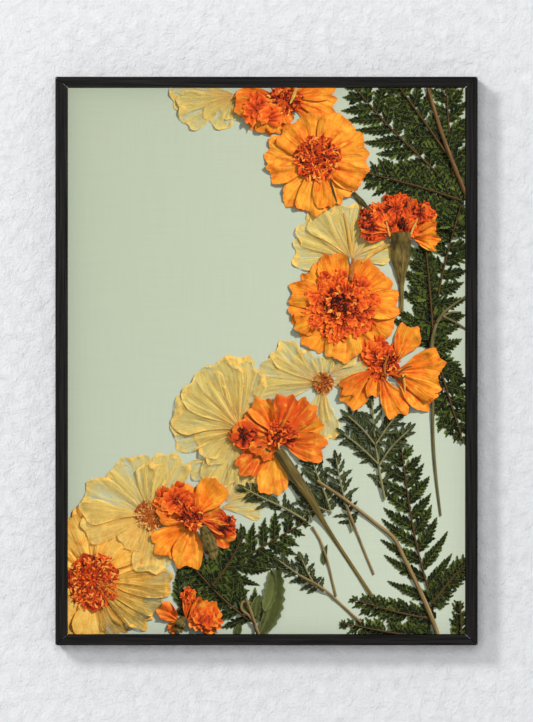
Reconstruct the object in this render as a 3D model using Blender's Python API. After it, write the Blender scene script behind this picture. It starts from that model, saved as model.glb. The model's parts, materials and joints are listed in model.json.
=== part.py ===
"""A pressed flower frame: dried marigolds, pale petals and fern fronds on a sage card, under glass,
in a slim black wooden frame that hangs on a wall by a sawtooth hanger.

Metres, +Z up, the picture faces -Y. The origin is the hanger's middle notch, on the wall's plane."""

import math

import bmesh
import bpy
import numpy as np

MM = 0.001

# Driving sizes
FRAME_WIDTH = 236.5 * MM
FRAME_HEIGHT = 318.4 * MM
FRAME_DEPTH = 20 * MM
SIDE_FACE = 6.7 * MM
END_FACE = 5.85 * MM
LIP_SHARE = 0.45
LIP_THICKNESS = 2 * MM
FACE_CHAMFER = 0.4 * MM
GAP = 0.3 * MM
GLASS_THICKNESS = 2 * MM
SPECIMEN_ROOM = 4.9 * MM
CARD_THICKNESS = 1.5 * MM
BOARD_THICKNESS = 3 * MM
NOTCH_BELOW_TOP = 18 * MM
SPACER_WIDTH = 1.5 * MM
SPECIMEN_OVERRUN = 0.5 * MM
CUT_MARGIN = 1.0 * MM

# The frame's four edges in the photograph, in its pixels
PHOTO_LEFT = 55.2
PHOTO_RIGHT = 477.5
PHOTO_TOP = 76.6

# Worked out from the sizes above
PIXEL = FRAME_WIDTH / (PHOTO_RIGHT - PHOTO_LEFT)
TOP_Z = NOTCH_BELOW_TOP
BOTTOM_Z = TOP_Z - FRAME_HEIGHT
CENTRE_Z = (TOP_Z + BOTTOM_Z) / 2
HALF_WIDTH = FRAME_WIDTH / 2
SIGHT_HALF_WIDTH = HALF_WIDTH - SIDE_FACE
SIGHT_HALF_HEIGHT = FRAME_HEIGHT / 2 - END_FACE
GLASS_FRONT_Y = -FRAME_DEPTH + LIP_THICKNESS + GAP
CARD_FRONT_Y = GLASS_FRONT_Y + GLASS_THICKNESS + SPECIMEN_ROOM
BOARD_FRONT_Y = CARD_FRONT_Y + CARD_THICKNESS + GAP
BOARD_BACK_Y = BOARD_FRONT_Y + BOARD_THICKNESS
PANE_HALF_WIDTH = HALF_WIDTH - SIDE_FACE * (1 - LIP_SHARE) - GAP
PANE_HALF_HEIGHT = FRAME_HEIGHT / 2 - END_FACE * (1 - LIP_SHARE) - GAP


# Objects and materials

def clear_scene():
    for item in list(bpy.data.objects):
        bpy.data.objects.remove(item)


def material(name, colour, roughness, metallic=0.0, alpha=1.0):
    made = bpy.data.materials.new(name)
    made.use_nodes = True
    shader = made.node_tree.nodes["Principled BSDF"]
    shader.inputs["Base Color"].default_value = (*colour, 1.0)
    shader.inputs["Roughness"].default_value = roughness
    shader.inputs["Metallic"].default_value = metallic
    shader.inputs["Alpha"].default_value = alpha
    return made


def add_object(name, points, faces, finish):
    """A closed mesh object with its faces turned outwards."""
    mesh = bpy.data.meshes.new(name)
    mesh.from_pydata([tuple(p) for p in points], [], faces)
    work = bmesh.new()
    work.from_mesh(mesh)
    bmesh.ops.recalc_face_normals(work, faces=work.faces)
    work.to_mesh(mesh)
    work.free()
    made = bpy.data.objects.new(name, mesh)
    made.data.materials.append(finish)
    bpy.context.scene.collection.objects.link(made)
    return made


def add_box(name, low, high, finish):
    x_pair, y_pair, z_pair = zip(low, high)
    corners = [(x, y, z) for x in x_pair for y in y_pair for z in z_pair]
    faces = [(0, 1, 3, 2), (4, 6, 7, 5), (0, 4, 5, 1), (2, 3, 7, 6), (0, 2, 6, 4), (1, 5, 7, 3)]
    return add_object(name, corners, faces, finish)


def add_cylinder_along_y(name, centre, radius, y_from, y_to, sides, finish):
    turns = [2 * math.pi * i / sides for i in range(sides)]
    ring = [(centre[0] + radius * math.cos(a), centre[1] + radius * math.sin(a)) for a in turns]
    points = [(x, y, z) for y in (y_from, y_to) for x, z in ring]
    faces = [(i, (i + 1) % sides, sides + (i + 1) % sides, sides + i) for i in range(sides)]
    faces += [tuple(range(sides)), tuple(range(sides, 2 * sides))]
    return add_object(name, points, faces, finish)


def cut(target, cutter):
    cutter.hide_render = True
    cutter.display_type = "WIRE"
    step = target.modifiers.new("cut", "BOOLEAN")
    step.operation = "DIFFERENCE"
    step.object = cutter


# The frame: four mitred rails with a rebate behind the lip

RAIL_PROFILE = (
    (0.0, 0.0),
    (0.0, -FRAME_DEPTH + FACE_CHAMFER),
    (FACE_CHAMFER / SIDE_FACE, -FRAME_DEPTH),
    (1 - FACE_CHAMFER / SIDE_FACE, -FRAME_DEPTH),
    (1.0, -FRAME_DEPTH + FACE_CHAMFER),
    (1.0, -FRAME_DEPTH + LIP_THICKNESS),
    (1 - LIP_SHARE, -FRAME_DEPTH + LIP_THICKNESS),
    (1 - LIP_SHARE, 0.0),
)


def add_rail(name, side, finish):
    """One rail. Its profile is (share of the face, y), and its ends are mitred on the frame's diagonal."""
    points = []
    for end in (-1, 1):
        for share, y in RAIL_PROFILE:
            across, along = share * SIDE_FACE, share * END_FACE
            if side in ("left", "right"):
                x = HALF_WIDTH - across
                z = CENTRE_Z + end * (FRAME_HEIGHT / 2 - along - GAP / 2)
                points.append((x if side == "right" else -x, y, z))
            else:
                x = end * (HALF_WIDTH - across - GAP / 2)
                z = FRAME_HEIGHT / 2 - along
                points.append((x, y, CENTRE_Z + (z if side == "top" else -z)))
    n = len(RAIL_PROFILE)
    faces = [(i, (i + 1) % n, n + (i + 1) % n, n + i) for i in range(n)]
    faces += [tuple(range(n)), tuple(range(n, 2 * n))]
    return add_object(name, points, faces, finish)


def add_pane(name, front_y, thickness, finish):
    """A sheet that fills the rebate, less a gap all round."""
    low = (-PANE_HALF_WIDTH, front_y, CENTRE_Z - PANE_HALF_HEIGHT)
    high = (PANE_HALF_WIDTH, front_y + thickness, CENTRE_Z + PANE_HALF_HEIGHT)
    return add_box(name, low, high, finish)


def add_spacer(finish):
    """One thin foam board ring, hidden under the lip, that holds the glass off the flowers."""
    front = GLASS_FRONT_Y + GLASS_THICKNESS + GAP
    back = CARD_FRONT_Y - GAP
    points = []
    for y in (front, back):
        for inset in (0.0, SPACER_WIDTH):
            half_x, half_z = PANE_HALF_WIDTH - inset, PANE_HALF_HEIGHT - inset
            for x, z in ((-1, -1), (1, -1), (1, 1), (-1, 1)):
                points.append((x * half_x, y, CENTRE_Z + z * half_z))
    faces = []
    for i in range(4):
        j = (i + 1) % 4
        faces += [(i, j, 4 + j, 4 + i), (8 + i, 12 + i, 12 + j, 8 + j)]
        faces += [(i, 8 + i, 8 + j, j), (4 + i, 4 + j, 12 + j, 12 + i)]
    add_object("spacer", points, faces, finish)


# The back: glazing points that hold the board in, and the hanger with its two nails

POINT_THICKNESS = 0.5 * MM
POINT_HALF_WIDTH = 3.5 * MM
POINT_BITE = 1.6 * MM
POINT_REACH = 9 * MM
POINT_UPPER_Z = CENTRE_Z + 90 * MM
POINT_LOWER_Z = CENTRE_Z - 90 * MM


def add_glazing_point(name, rail, side, z, finish):
    """A flat steel point driven into the rebate wall of a side rail, lying on the board."""
    wall = side * (HALF_WIDTH - SIDE_FACE * (1 - LIP_SHARE))
    outer = wall + side * POINT_BITE
    inner = wall - side * POINT_REACH
    y = BOARD_BACK_Y + GAP
    outline = (
        (outer, z - POINT_HALF_WIDTH * 0.35),
        (outer, z + POINT_HALF_WIDTH * 0.35),
        (wall, z + POINT_HALF_WIDTH),
        (inner, z + POINT_HALF_WIDTH * 0.5),
        (inner, z - POINT_HALF_WIDTH * 0.5),
        (wall, z - POINT_HALF_WIDTH),
    )
    n = len(outline)
    points = [(x, depth, height) for depth in (y, y + POINT_THICKNESS) for x, height in outline]
    faces = [(i, (i + 1) % n, n + (i + 1) % n, n + i) for i in range(n)]
    faces += [tuple(range(n)), tuple(range(n, 2 * n))]
    add_object(name, points, faces, finish)
    low_x, high_x = sorted((outer + side * GAP, wall - side * GAP))
    slot = add_box(
        name + "_slot",
        (low_x, y - GAP, z - POINT_HALF_WIDTH - GAP),
        (high_x, y + POINT_THICKNESS + GAP, z + POINT_HALF_WIDTH + GAP),
        finish,
    )
    cut(rail, slot)


HANGER_HALF_LENGTH = 23 * MM
HANGER_FOOT = 9 * MM
HANGER_BEND = 3 * MM
HANGER_RISE = 1.8 * MM
HANGER_THICKNESS = 0.9 * MM
HANGER_HEIGHT = 7 * MM
TOOTH_PITCH = 1.6 * MM
TOOTH_DEPTH = 1.2 * MM
NAIL_RADIUS = 0.7 * MM
NAIL_HEAD_RADIUS = 1.8 * MM
NAIL_HEAD_THICKNESS = 0.8 * MM
NAIL_LENGTH = 2.2 * MM
NAIL_X = HANGER_HALF_LENGTH - HANGER_FOOT / 2
NAIL_Z = HANGER_HEIGHT / 2


def add_hanger(finish):
    """A strip whose feet lie on the board and whose raised middle has teeth along its lower edge."""
    middle = HANGER_HALF_LENGTH - HANGER_FOOT - HANGER_BEND
    teeth = int(middle / TOOTH_PITCH) * 2
    columns = [(-HANGER_HALF_LENGTH, 0, 0), (-middle - HANGER_BEND, 0, 0)]
    for i in range(-teeth, teeth + 1):
        columns.append((i * TOOTH_PITCH / 2, HANGER_RISE, -TOOTH_DEPTH if i % 2 else 0))
    columns += [(middle + HANGER_BEND, 0, 0), (HANGER_HALF_LENGTH, 0, 0)]
    base_y = BOARD_BACK_Y + GAP
    points = []
    for x, rise, low_z in columns:
        for y in (base_y + rise, base_y + rise + HANGER_THICKNESS):
            points += [(x, y, low_z), (x, y, HANGER_HEIGHT)]
    last = len(columns) - 1
    faces = [(0, 1, 3, 2), (4 * last, 4 * last + 2, 4 * last + 3, 4 * last + 1)]
    for i in range(last):
        a, b = 4 * i, 4 * i + 4
        faces += [(a, b, b + 1, a + 1), (a + 2, a + 3, b + 3, b + 2)]
        faces += [(a, a + 2, b + 2, b), (a + 1, b + 1, b + 3, a + 3)]
    return add_object("sawtooth_hanger", points, faces, finish)


def add_nail(name, x, hanger, board, finish):
    """A round-headed nail through the hanger's foot into the board."""
    under_head = BOARD_BACK_Y + GAP + HANGER_THICKNESS + GAP
    tip = BOARD_BACK_Y - NAIL_LENGTH
    rings = ((NAIL_RADIUS, tip), (NAIL_RADIUS, under_head), (NAIL_HEAD_RADIUS, under_head))
    rings += ((NAIL_HEAD_RADIUS, under_head + NAIL_HEAD_THICKNESS / 2),)
    rings += ((NAIL_HEAD_RADIUS * 0.55, under_head + NAIL_HEAD_THICKNESS),)
    sides = 12
    points = []
    for radius, y in rings:
        for i in range(sides):
            a = 2 * math.pi * i / sides
            points.append((x + radius * math.cos(a), y, NAIL_Z + radius * math.sin(a)))
    faces = [tuple(range(sides)), tuple(range((len(rings) - 1) * sides, len(rings) * sides))]
    for ring in range(len(rings) - 1):
        low, high = ring * sides, (ring + 1) * sides
        for i in range(sides):
            j = (i + 1) % sides
            faces.append((low + i, low + j, high + j, high + i))
    add_object(name, points, faces, finish)
    hole_back = BOARD_BACK_Y + 2 * HANGER_THICKNESS
    hole_radius = NAIL_RADIUS + GAP
    centre = (x, NAIL_Z)
    hole = add_cylinder_along_y(name + "_hole", centre, hole_radius, tip - GAP, hole_back, sides, finish)
    cut(hanger, hole)
    cut(board, hole)


# How a flat piece comes to lie: over the card and over all that was laid before it

CELL = 0.5 * MM
BED_HALF_WIDTH = SIGHT_HALF_WIDTH + SPECIMEN_OVERRUN
BED_HALF_HEIGHT = SIGHT_HALF_HEIGHT + SPECIMEN_OVERRUN
BED_SHAPE = (int(2 * BED_HALF_WIDTH / CELL) + 3, int(2 * BED_HALF_HEIGHT / CELL) + 3)
SAMPLE_STEPS = 22
SETTLING_ROUNDS = 60

bed = np.zeros(BED_SHAPE)
STEPS = range(SAMPLE_STEPS + 1)
CORNER_SHARES = [(i, j, SAMPLE_STEPS - i - j) for i in STEPS for j in STEPS if i + j <= SAMPLE_STEPS]
WEIGHTS = np.array(CORNER_SHARES) / SAMPLE_STEPS


def cells_under(plan, triangles):
    """The bed's cells under points spread over each triangle."""
    spots = np.einsum("sk,tkc->tsc", WEIGHTS, plan[triangles])
    column = ((spots[..., 0] + BED_HALF_WIDTH) / CELL).astype(int) + 1
    row = ((spots[..., 1] - CENTRE_Z + BED_HALF_HEIGHT) / CELL).astype(int) + 1
    return np.clip(column, 0, BED_SHAPE[0] - 1), np.clip(row, 0, BED_SHAPE[1] - 1)


def settle(plan, triangles, cells):
    """The height of each corner at which the sheet just clears what is under it."""
    needed = bed[cells] + GAP
    heights = np.full(len(plan), GAP)
    for _ in range(SETTLING_ROUNDS):
        short = needed - np.einsum("sk,tk->ts", WEIGHTS, heights[triangles])
        worst = short.argmax(axis=1)
        amount = short[np.arange(len(triangles)), worst]
        lift = np.maximum(amount, 0)[:, None] * WEIGHTS[worst]
        raised = np.zeros(len(plan))
        np.maximum.at(raised, triangles, lift)
        heights += raised
    short = (needed - np.einsum("sk,tk->ts", WEIGHTS, heights[triangles])).max(axis=1)
    extra = np.zeros(len(plan))
    np.maximum.at(extra, triangles, np.repeat(np.maximum(short, 0)[:, None], 3, axis=1))
    return heights + extra


def pile_up(triangles, cells, tops):
    """Marks the piece's top on the bed, one cell wider than the piece."""
    top = np.einsum("sk,tk->ts", WEIGHTS, tops[triangles])
    for across in (-1, 0, 1):
        for up in (-1, 0, 1):
            column = np.clip(cells[0] + across, 0, BED_SHAPE[0] - 1)
            row = np.clip(cells[1] + up, 0, BED_SHAPE[1] - 1)
            np.maximum.at(bed, (column, row), top)


def lay(name, plan, triangles, thickness, finish):
    """Lays a flat piece, given as plan points (x, z) and triangles, and gives it its thickness."""
    plan = np.array(plan, float)
    triangles = np.array(triangles, int)
    thickness = np.broadcast_to(np.array(thickness, float), (len(plan),))
    cells = cells_under(plan, triangles)
    under = settle(plan, triangles, cells)
    top = under + thickness
    pile_up(triangles, cells, top)
    n = len(plan)
    points = [(x, CARD_FRONT_Y - h, z) for (x, z), h in zip(plan, under)]
    points += [(x, CARD_FRONT_Y - h, z) for (x, z), h in zip(plan, top)]
    faces = [tuple(t) for t in triangles] + [tuple(n + i for i in reversed(t)) for t in triangles]
    seen = {}
    for a, b, c in triangles:
        for edge in ((a, b), (b, c), (c, a)):
            seen[edge] = True
    faces += [(a, n + a, n + b, b) for a, b in seen if (b, a) not in seen]
    return add_object(name, points, faces, finish)


def spot(px, py):
    """A point of the card, as (x, z), from its pixel in the photograph, kept inside the cut edges."""
    x = (px - PHOTO_LEFT) * PIXEL - HALF_WIDTH
    z = TOP_Z - (py - PHOTO_TOP) * PIXEL
    half_x, half_z = BED_HALF_WIDTH - CUT_MARGIN, BED_HALF_HEIGHT - CUT_MARGIN
    return np.array((np.clip(x, -half_x, half_x), np.clip(z, CENTRE_Z - half_z, CENTRE_Z + half_z)))


def room_along(start, direction):
    """How far a piece can run from a point before the cut edge under the lip."""
    limits = []
    for value, step, half in (
        (start[0], direction[0], BED_HALF_WIDTH),
        (start[1] - CENTRE_Z, direction[1], BED_HALF_HEIGHT),
    ):
        if abs(step) > 1e-9:
            limits.append((math.copysign(half, step) - value) / step)
    return min(limits)


# Flowers: a ring of petals round a centre

def petal_reach(turn, petals):
    """How far the petals reach from the flower's centre in one direction, in mm."""
    longest = 0.0
    for angle, reach, breadth in petals:
        away = abs((turn - angle + 180) % 360 - 180)
        half = math.degrees(math.atan2(breadth / 2, reach * 0.72)) * 1.12
        if away < half:
            longest = max(longest, reach * math.sqrt(1 - (away / half) ** 4))
    return longest


def add_petals(name, centre, petals, thickness, finish, core=6.0, turns=40):
    """The petals of a flower as one lobed sheet. Petals are (angle, reach, breadth), in degrees and mm."""
    middle = spot(*centre)
    plan, triangles = [middle], []
    for ring in (0.55, 1.0):
        for i in range(turns):
            turn = 360 * i / turns
            way = np.array((math.cos(math.radians(turn)), math.sin(math.radians(turn))))
            reach = max(petal_reach(turn, petals), core) * MM
            plan.append(middle + way * min(reach, room_along(middle, way)) * ring)
    for i in range(turns):
        a, b = 1 + i, 1 + (i + 1) % turns
        triangles += [(0, a, b), (a, a + turns, b + turns), (a, b + turns, b)]
    return lay(name, plan, triangles, thickness, finish)


def add_crest(name, centre, radius, height, finish, turns=16, squash=1.0):
    """The dome of small crumpled florets in a flower's middle."""
    middle = spot(*centre)
    plan, triangles, thickness = [middle], [], [height]
    for ring, share in ((0.62, 0.85), (1.0, 0.3)):
        for i in range(turns):
            turn = 2 * math.pi * i / turns
            way = np.array((math.cos(turn), math.sin(turn) * squash))
            reach = radius * (1 + 0.08 * math.sin(3 * turn + 1) + 0.05 * math.sin(5 * turn))
            plan.append(middle + way * min(reach, room_along(middle, way)) * ring)
            thickness.append(height * share)
    for i in range(turns):
        a, b = 1 + i, 1 + (i + 1) % turns
        triangles += [(0, a, b), (a, a + turns, b + turns), (a, b + turns, b)]
    return lay(name, plan, triangles, thickness, finish)


# Stems, leaves and fronds: a tapering strip with flat limbs to its left and right

def along_path(path, share):
    """The point and heading at a share of a path's length."""
    steps = np.linalg.norm(np.diff(path, axis=0), axis=1)
    reached = np.concatenate(([0.0], np.cumsum(steps))) / steps.sum()
    point = np.array([np.interp(share, reached, path[:, k]) for k in (0, 1)])
    i = min(max(int(np.searchsorted(reached, share, side="right")) - 1, 0), len(steps) - 1)
    heading = (path[i + 1] - path[i]) / steps[i]
    return point, heading


def add_branching(name, path_px, widths, thickness, finish, limbs=(), steps=8):
    """A strip along a path, with limbs (share along it, side, reach, forward angle, breadth, base)."""
    path = np.array([spot(*p) for p in path_px])
    length = np.linalg.norm(np.diff(path, axis=0), axis=1).sum()
    bases = []
    for share, side, reach, angle, breadth, base in limbs:
        half = base * MM / 2 / length
        bases.append((max(share - half, 0.0), min(share + half, 1.0)))
    nodes = {round(v, 4) for pair in bases for v in pair} | {0.0, 1.0}
    for i in range(1, steps):
        share = i / steps
        if all(abs(share - v) > 0.35 / steps for v in nodes):
            nodes.add(round(share, 4))
    nodes = sorted(nodes)
    plan, triangles = [], []
    for share in nodes:
        point, heading = along_path(path, share)
        half = np.interp(share, np.linspace(0, 1, len(widths)), widths) * MM / 2
        normal = np.array((-heading[1], heading[0]))
        plan += [point + normal * half, point - normal * half]
    for i in range(len(nodes) - 1):
        a = 2 * i
        triangles += [(a, a + 1, a + 3), (a, a + 3, a + 2)]
    thick = [thickness] * len(plan)
    for (low, high), (share, side, reach, angle, breadth, base) in zip(bases, limbs):
        point, heading = along_path(path, share)
        turn = math.radians(angle) * side
        way = np.array((
            heading[0] * math.cos(turn) - heading[1] * math.sin(turn),
            heading[0] * math.sin(turn) + heading[1] * math.cos(turn),
        ))
        across = np.array((-way[1], way[0])) * side
        out = min(reach * MM, room_along(point, way) - GAP)
        if out < 2 * MM:
            continue
        first = len(plan)
        middle = point + way * out * 0.5
        plan += [middle + across * breadth * MM / 2, middle - across * breadth * MM / 2, point + way * out]
        thick += [thickness * 0.6] * 3
        offset = 0 if side > 0 else 1
        row = [2 * i + offset for i, v in enumerate(nodes) if round(low, 4) <= v <= round(high, 4)]
        ring = [first + 1, first, *row]
        triangles += [(ring[0], ring[k], ring[k + 1]) for k in range(1, len(ring) - 1)]
        triangles.append((first, first + 1, first + 2))
    return lay(name, plan, orient(plan, triangles), thick, finish)


def orient(plan, triangles):
    """Every triangle turned the same way round."""
    turned = []
    for a, b, c in triangles:
        u, v = plan[b] - plan[a], plan[c] - plan[a]
        turned.append((a, b, c) if u[0] * v[1] - u[1] * v[0] > 0 else (a, c, b))
    return turned


def add_frond(name, path_px, pairs, left, right, finish, start=0.06, angle=62, fill=0.62):
    """A fern frond: pairs of pinnae whose reach, in mm, runs between the two of left or of right."""
    path = np.array([spot(*p) for p in path_px])
    length = np.linalg.norm(np.diff(path, axis=0), axis=1).sum() / MM
    spacing = length * (1 - start) / pairs
    breadth = spacing * fill
    limbs = []
    for i in range(pairs):
        share = start + (1 - start) * (i + 0.45) / pairs
        for side, (first, last) in ((1, left), (-1, right)):
            reach = first + (last - first) * i / (pairs - 1)
            limbs.append((share, side, reach, angle, breadth, breadth * 0.4))
    return add_branching(name, path_px, RACHIS_WIDTHS, FROND_THICKNESS, finish, limbs, steps=2)


# Where each specimen lies: places are pixels of the photograph, angles are degrees, the rest is mm

# Fronds: path from base to tip, pairs of pinnae, and their reach at base and tip, left and then right
FRONDS = {
    "fern_frond_upper": (((467, 200), (416, 152), (389, 126), (352, 86)), 8, (22, 11), (21, 10)),
    "fern_frond_top_corner": (((450, 162), (446, 128), (442, 84)), 7, (10, 7), (12, 8)),
    "fern_frond_top_middle": (((440, 150), (424, 120), (398, 84)), 6, (9, 5), (9, 5)),
    "fern_frond_behind_bud": (((440, 200), (408, 184), (366, 170)), 7, (13, 8), (15, 8)),
    "fern_frond_right": (((424, 362), (433, 310), (446, 262), (461, 205)), 9, (17, 12), (16, 5)),
    "fern_frond_right_edge": (((441, 372), (448, 402), (463, 434)), 5, (11, 8), (11, 6)),
    "fern_frond_lower_right": (((436, 634), (427, 588), (413, 530), (401, 446)), 11, (26, 11), (24, 11)),
    "fern_frond_bottom": (((436, 622), (400, 616), (352, 600)), 6, (9, 5), (8, 5)),
    "fern_frond_lower_middle": (((188, 600), (242, 557), (306, 530)), 9, (16, 8), (19, 8)),
}

# Bare stems: path, widths along it in millimetres and thickness in millimetres
STEMS = {
    "brown_stem_top_corner": (((426, 84), (436, 114), (445, 142), (466, 194)), (1.6, 1.6, 1.8), 0.9),
    "brown_stem_right": (((435, 400), (432, 438), (436, 476), (441, 516)), (1.2, 1.6, 1.0), 0.9),
    "tan_stem": (
        ((438, 635), (416, 582), (404, 558), (395, 538), (361, 512), (343, 498), (317, 481)),
        (2.4, 2.0, 1.5, 1.2),
        1.0,
    ),
    "thin_stem_right": (((374, 575), (362, 546), (346, 505)), (0.9, 1.0), 0.7),
}

# Leaves: path, widths, thickness, then leaflets (share, side, reach, forward angle, breadth, base breadth)
LEAVES = {
    "marigold_leaf_middle": (
        ((385, 500), (379, 470), (375, 440), (372, 402)),
        (1.4, 1.2, 0.8),
        0.5,
        (
            (0.30, 1, 13, 55, 3.5, 1.6),
            (0.34, -1, 14, 50, 3.5, 1.6),
            (0.45, 1, 27, 62, 5.0, 2.0),
            (0.50, -1, 25, 58, 4.5, 2.0),
            (0.62, 1, 25, 48, 5.0, 2.0),
            (0.68, -1, 17, 36, 4.0, 1.8),
        ),
    ),
    "marigold_leaf_left": (
        ((306, 521), (284, 508), (262, 498), (243, 488)),
        (1.3, 1.0, 0.7),
        0.5,
        (
            (0.15, 1, 10, 55, 3.2, 1.6),
            (0.22, -1, 12, 55, 3.2, 1.6),
            (0.42, 1, 12, 50, 3.4, 1.6),
            (0.50, -1, 12, 50, 3.4, 1.6),
            (0.68, 1, 10, 45, 3.0, 1.6),
            (0.76, -1, 9, 45, 3.0, 1.6),
        ),
    ),
    "marigold_leaf_upper": (
        ((331, 514), (326, 496), (318, 478), (311, 456)),
        (1.2, 0.9, 0.6),
        0.5,
        (
            (0.25, 1, 14, 60, 3.6, 1.6),
            (0.33, -1, 13, 55, 3.6, 1.6),
            (0.56, 1, 13, 50, 3.4, 1.6),
            (0.64, -1, 14, 50, 3.4, 1.6),
        ),
    ),
    "marigold_leaf_lower": (
        ((324, 592), (308, 582), (294, 572), (279, 561)),
        (1.2, 0.9, 0.6),
        0.5,
        (
            (0.20, 1, 9, 60, 3.2, 1.6),
            (0.30, -1, 11, 60, 3.6, 1.6),
            (0.52, 1, 9, 50, 3.2, 1.6),
            (0.62, -1, 12, 50, 3.6, 1.6),
        ),
    ),
    "folded_leaf": (((259, 634), (262, 612), (270, 590), (280, 568)), (2.5, 13.0, 15.0, 9.0, 1.2), 0.6, ()),
}

# Pale blossoms: centre, petals as (angle, reach, breadth), and the radius of the stamens where they show
PALE_BLOSSOMS = {
    "pale_blossom_top": ((236, 93), ((178, 37, 20), (203, 34, 20), (230, 22, 18), (255, 12, 12)), 0),
    "pale_blossom_upper": (
        (352, 259),
        ((167, 33, 19), (145, 35, 20), (122, 34, 20), (97, 31, 20), (62, 24, 20), (18, 23, 18)),
        0,
    ),
    "pale_blossom_middle": (
        (323, 383),
        ((146, 33, 15), (179, 39, 22), (262, 20, 9), (275, 32, 11), (90, 15, 12)),
        6.5,
    ),
    "pale_blossom_large": (
        (240, 429),
        (
            (181, 38, 24),
            (158, 39, 25),
            (134, 39, 25),
            (111, 40, 23),
            (91, 41, 20),
            (74, 34, 16),
            (210, 26, 16),
            (247, 34, 20),
            (272, 32, 16),
        ),
        0,
    ),
    "pale_blossom_low": (
        (149, 516),
        ((185, 38, 22), (160, 39, 25), (112, 35, 25), (63, 37, 19), (275, 32, 20), (235, 20, 14)),
        7.0,
    ),
}

# Marigold heads: centre, petals, then the crest of small florets as (centre, radius, flattening)
MARIGOLDS = {
    "marigold_top": (
        (289, 104),
        (
            (165, 30, 16),
            (190, 31, 18),
            (218, 26, 17),
            (246, 21, 15),
            (272, 19, 15),
            (298, 20, 15),
            (325, 24, 16),
            (352, 27, 17),
            (20, 25, 16),
        ),
        ((289, 104), 8.5, 0.9),
    ),
    "marigold_round": ((317, 160), None, ((318, 158), 12.3, 1.0)),
    "marigold_large": ((342, 306), None, ((342, 304), 19.0, 0.86)),
    "marigold_open": (
        (390, 366),
        ((58, 25, 18), (100, 17, 12), (342, 34, 29), (272, 30, 22), (208, 35, 25)),
        ((382, 362), 11.0, 0.95),
    ),
    "marigold_corner": (
        (92, 583),
        (
            (100, 43, 24),
            (76, 41, 22),
            (52, 45, 24),
            (27, 43, 24),
            (3, 45, 22),
            (338, 43, 24),
            (312, 42, 24),
            (284, 36, 24),
            (126, 40, 24),
            (180, 30, 30),
            (240, 36, 30),
        ),
        ((93, 582), 15.5, 1.05),
    ),
    "marigold_bud": (
        (400, 234),
        (
            (176, 19, 11),
            (152, 23, 14),
            (122, 20, 13),
            (92, 20, 14),
            (58, 22, 14),
            (24, 23, 14),
            (346, 17, 11),
        ),
        None,
    ),
    "marigold_red": (
        (276, 440),
        (
            (108, 24, 15),
            (70, 25, 15),
            (38, 30, 17),
            (353, 29, 23),
            (266, 33, 20),
            (172, 25, 19),
            (221, 22, 16),
        ),
        ((283, 432), 8.5, 0.8),
    ),
    "marigold_low": (
        (196, 521),
        (
            (68, 25, 18),
            (105, 20, 13),
            (140, 23, 14),
            (184, 27, 14),
            (216, 26, 15),
            (257, 27, 21),
            (358, 26, 23),
            (310, 15, 12),
        ),
        ((192, 514), 8.0, 0.9),
    ),
    "marigold_small": (
        (184, 627),
        ((146, 17, 11), (106, 15, 9), (78, 18, 12), (14, 23, 13), (200, 11, 9)),
        None,
    ),
}

# The two heads with a full ring of petals: how many, their reach and breadth, and how uneven they are
FULL_RINGS = {
    "marigold_round": (11, 29.0, 19.0, 0.05),
    "marigold_large": (15, 31.5, 17.0, 0.06),
}

# Calyces, each with its stem: path, widths and thickness
CALYCES = {
    "marigold_bud": (
        ((402, 308), (402, 288), (401, 268), (401, 250), (401, 236)),
        (1.8, 2.2, 3.0, 10.5, 11.0),
        1.0,
    ),
    "marigold_red": (
        ((373, 598), (346, 559), (323, 521), (320, 507), (298, 468), (276, 449)),
        (1.6, 1.8, 2.0, 2.2, 2.6, 6.0, 7.0),
        1.0,
    ),
    "marigold_low": (((216, 560), (214, 546), (208, 530)), (3.0, 6.0, 4.0), 1.0),
    "marigold_small": (((177, 632), (179, 627), (183, 617)), (5.5, 6.0, 3.0), 0.9),
}

PETAL_THICKNESS = 0.45 * MM
PALE_THICKNESS = 0.3 * MM
CREST_HEIGHT = 0.95 * MM
STAMEN_HEIGHT = 0.6 * MM
FROND_THICKNESS = 0.45 * MM
RACHIS_WIDTHS = (1.0, 0.8, 0.5)
RING_SEED = 7


def full_ring(count, reach, breadth, uneven, random):
    """Petals all the way round, each a little longer or shorter than the next."""
    petals = []
    for i in range(count):
        change = 1 + uneven * random.uniform(-1, 1)
        petals.append((360 * i / count + random.uniform(-4, 4), reach * change, breadth))
    return petals


def build_frame():
    black_wood = material("black_wood", (0.018, 0.016, 0.015), 0.5)
    glass = material("clear_glass", (1.0, 1.0, 1.0), 0.03, alpha=0.12)
    card = material("sage_card", (0.49, 0.56, 0.41), 0.85)
    board = material("brown_board", (0.30, 0.20, 0.12), 0.8)
    foam = material("white_foam_board", (0.85, 0.85, 0.83), 0.8)
    steel = material("zinc_steel", (0.55, 0.55, 0.53), 0.4, metallic=1.0)
    brass = material("brass_plated_steel", (0.62, 0.47, 0.22), 0.35, metallic=1.0)

    rails = {}
    for side in ("left", "right", "top", "bottom"):
        rails[side] = add_rail("rail_" + side, side, black_wood)
    add_pane("glass_pane", GLASS_FRONT_Y, GLASS_THICKNESS, glass)
    add_pane("backing_card", CARD_FRONT_Y, CARD_THICKNESS, card)
    backing = add_pane("backing_board", BOARD_FRONT_Y, BOARD_THICKNESS, board)
    add_spacer(foam)
    for side, rail in ((-1, "left"), (1, "right")):
        for height, z in (("upper", POINT_UPPER_Z), ("lower", POINT_LOWER_Z)):
            add_glazing_point("glazing_point_" + rail + "_" + height, rails[rail], side, z, steel)
    hanger = add_hanger(brass)
    add_nail("hanger_nail_left", -NAIL_X, hanger, backing, brass)
    add_nail("hanger_nail_right", NAIL_X, hanger, backing, brass)


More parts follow.
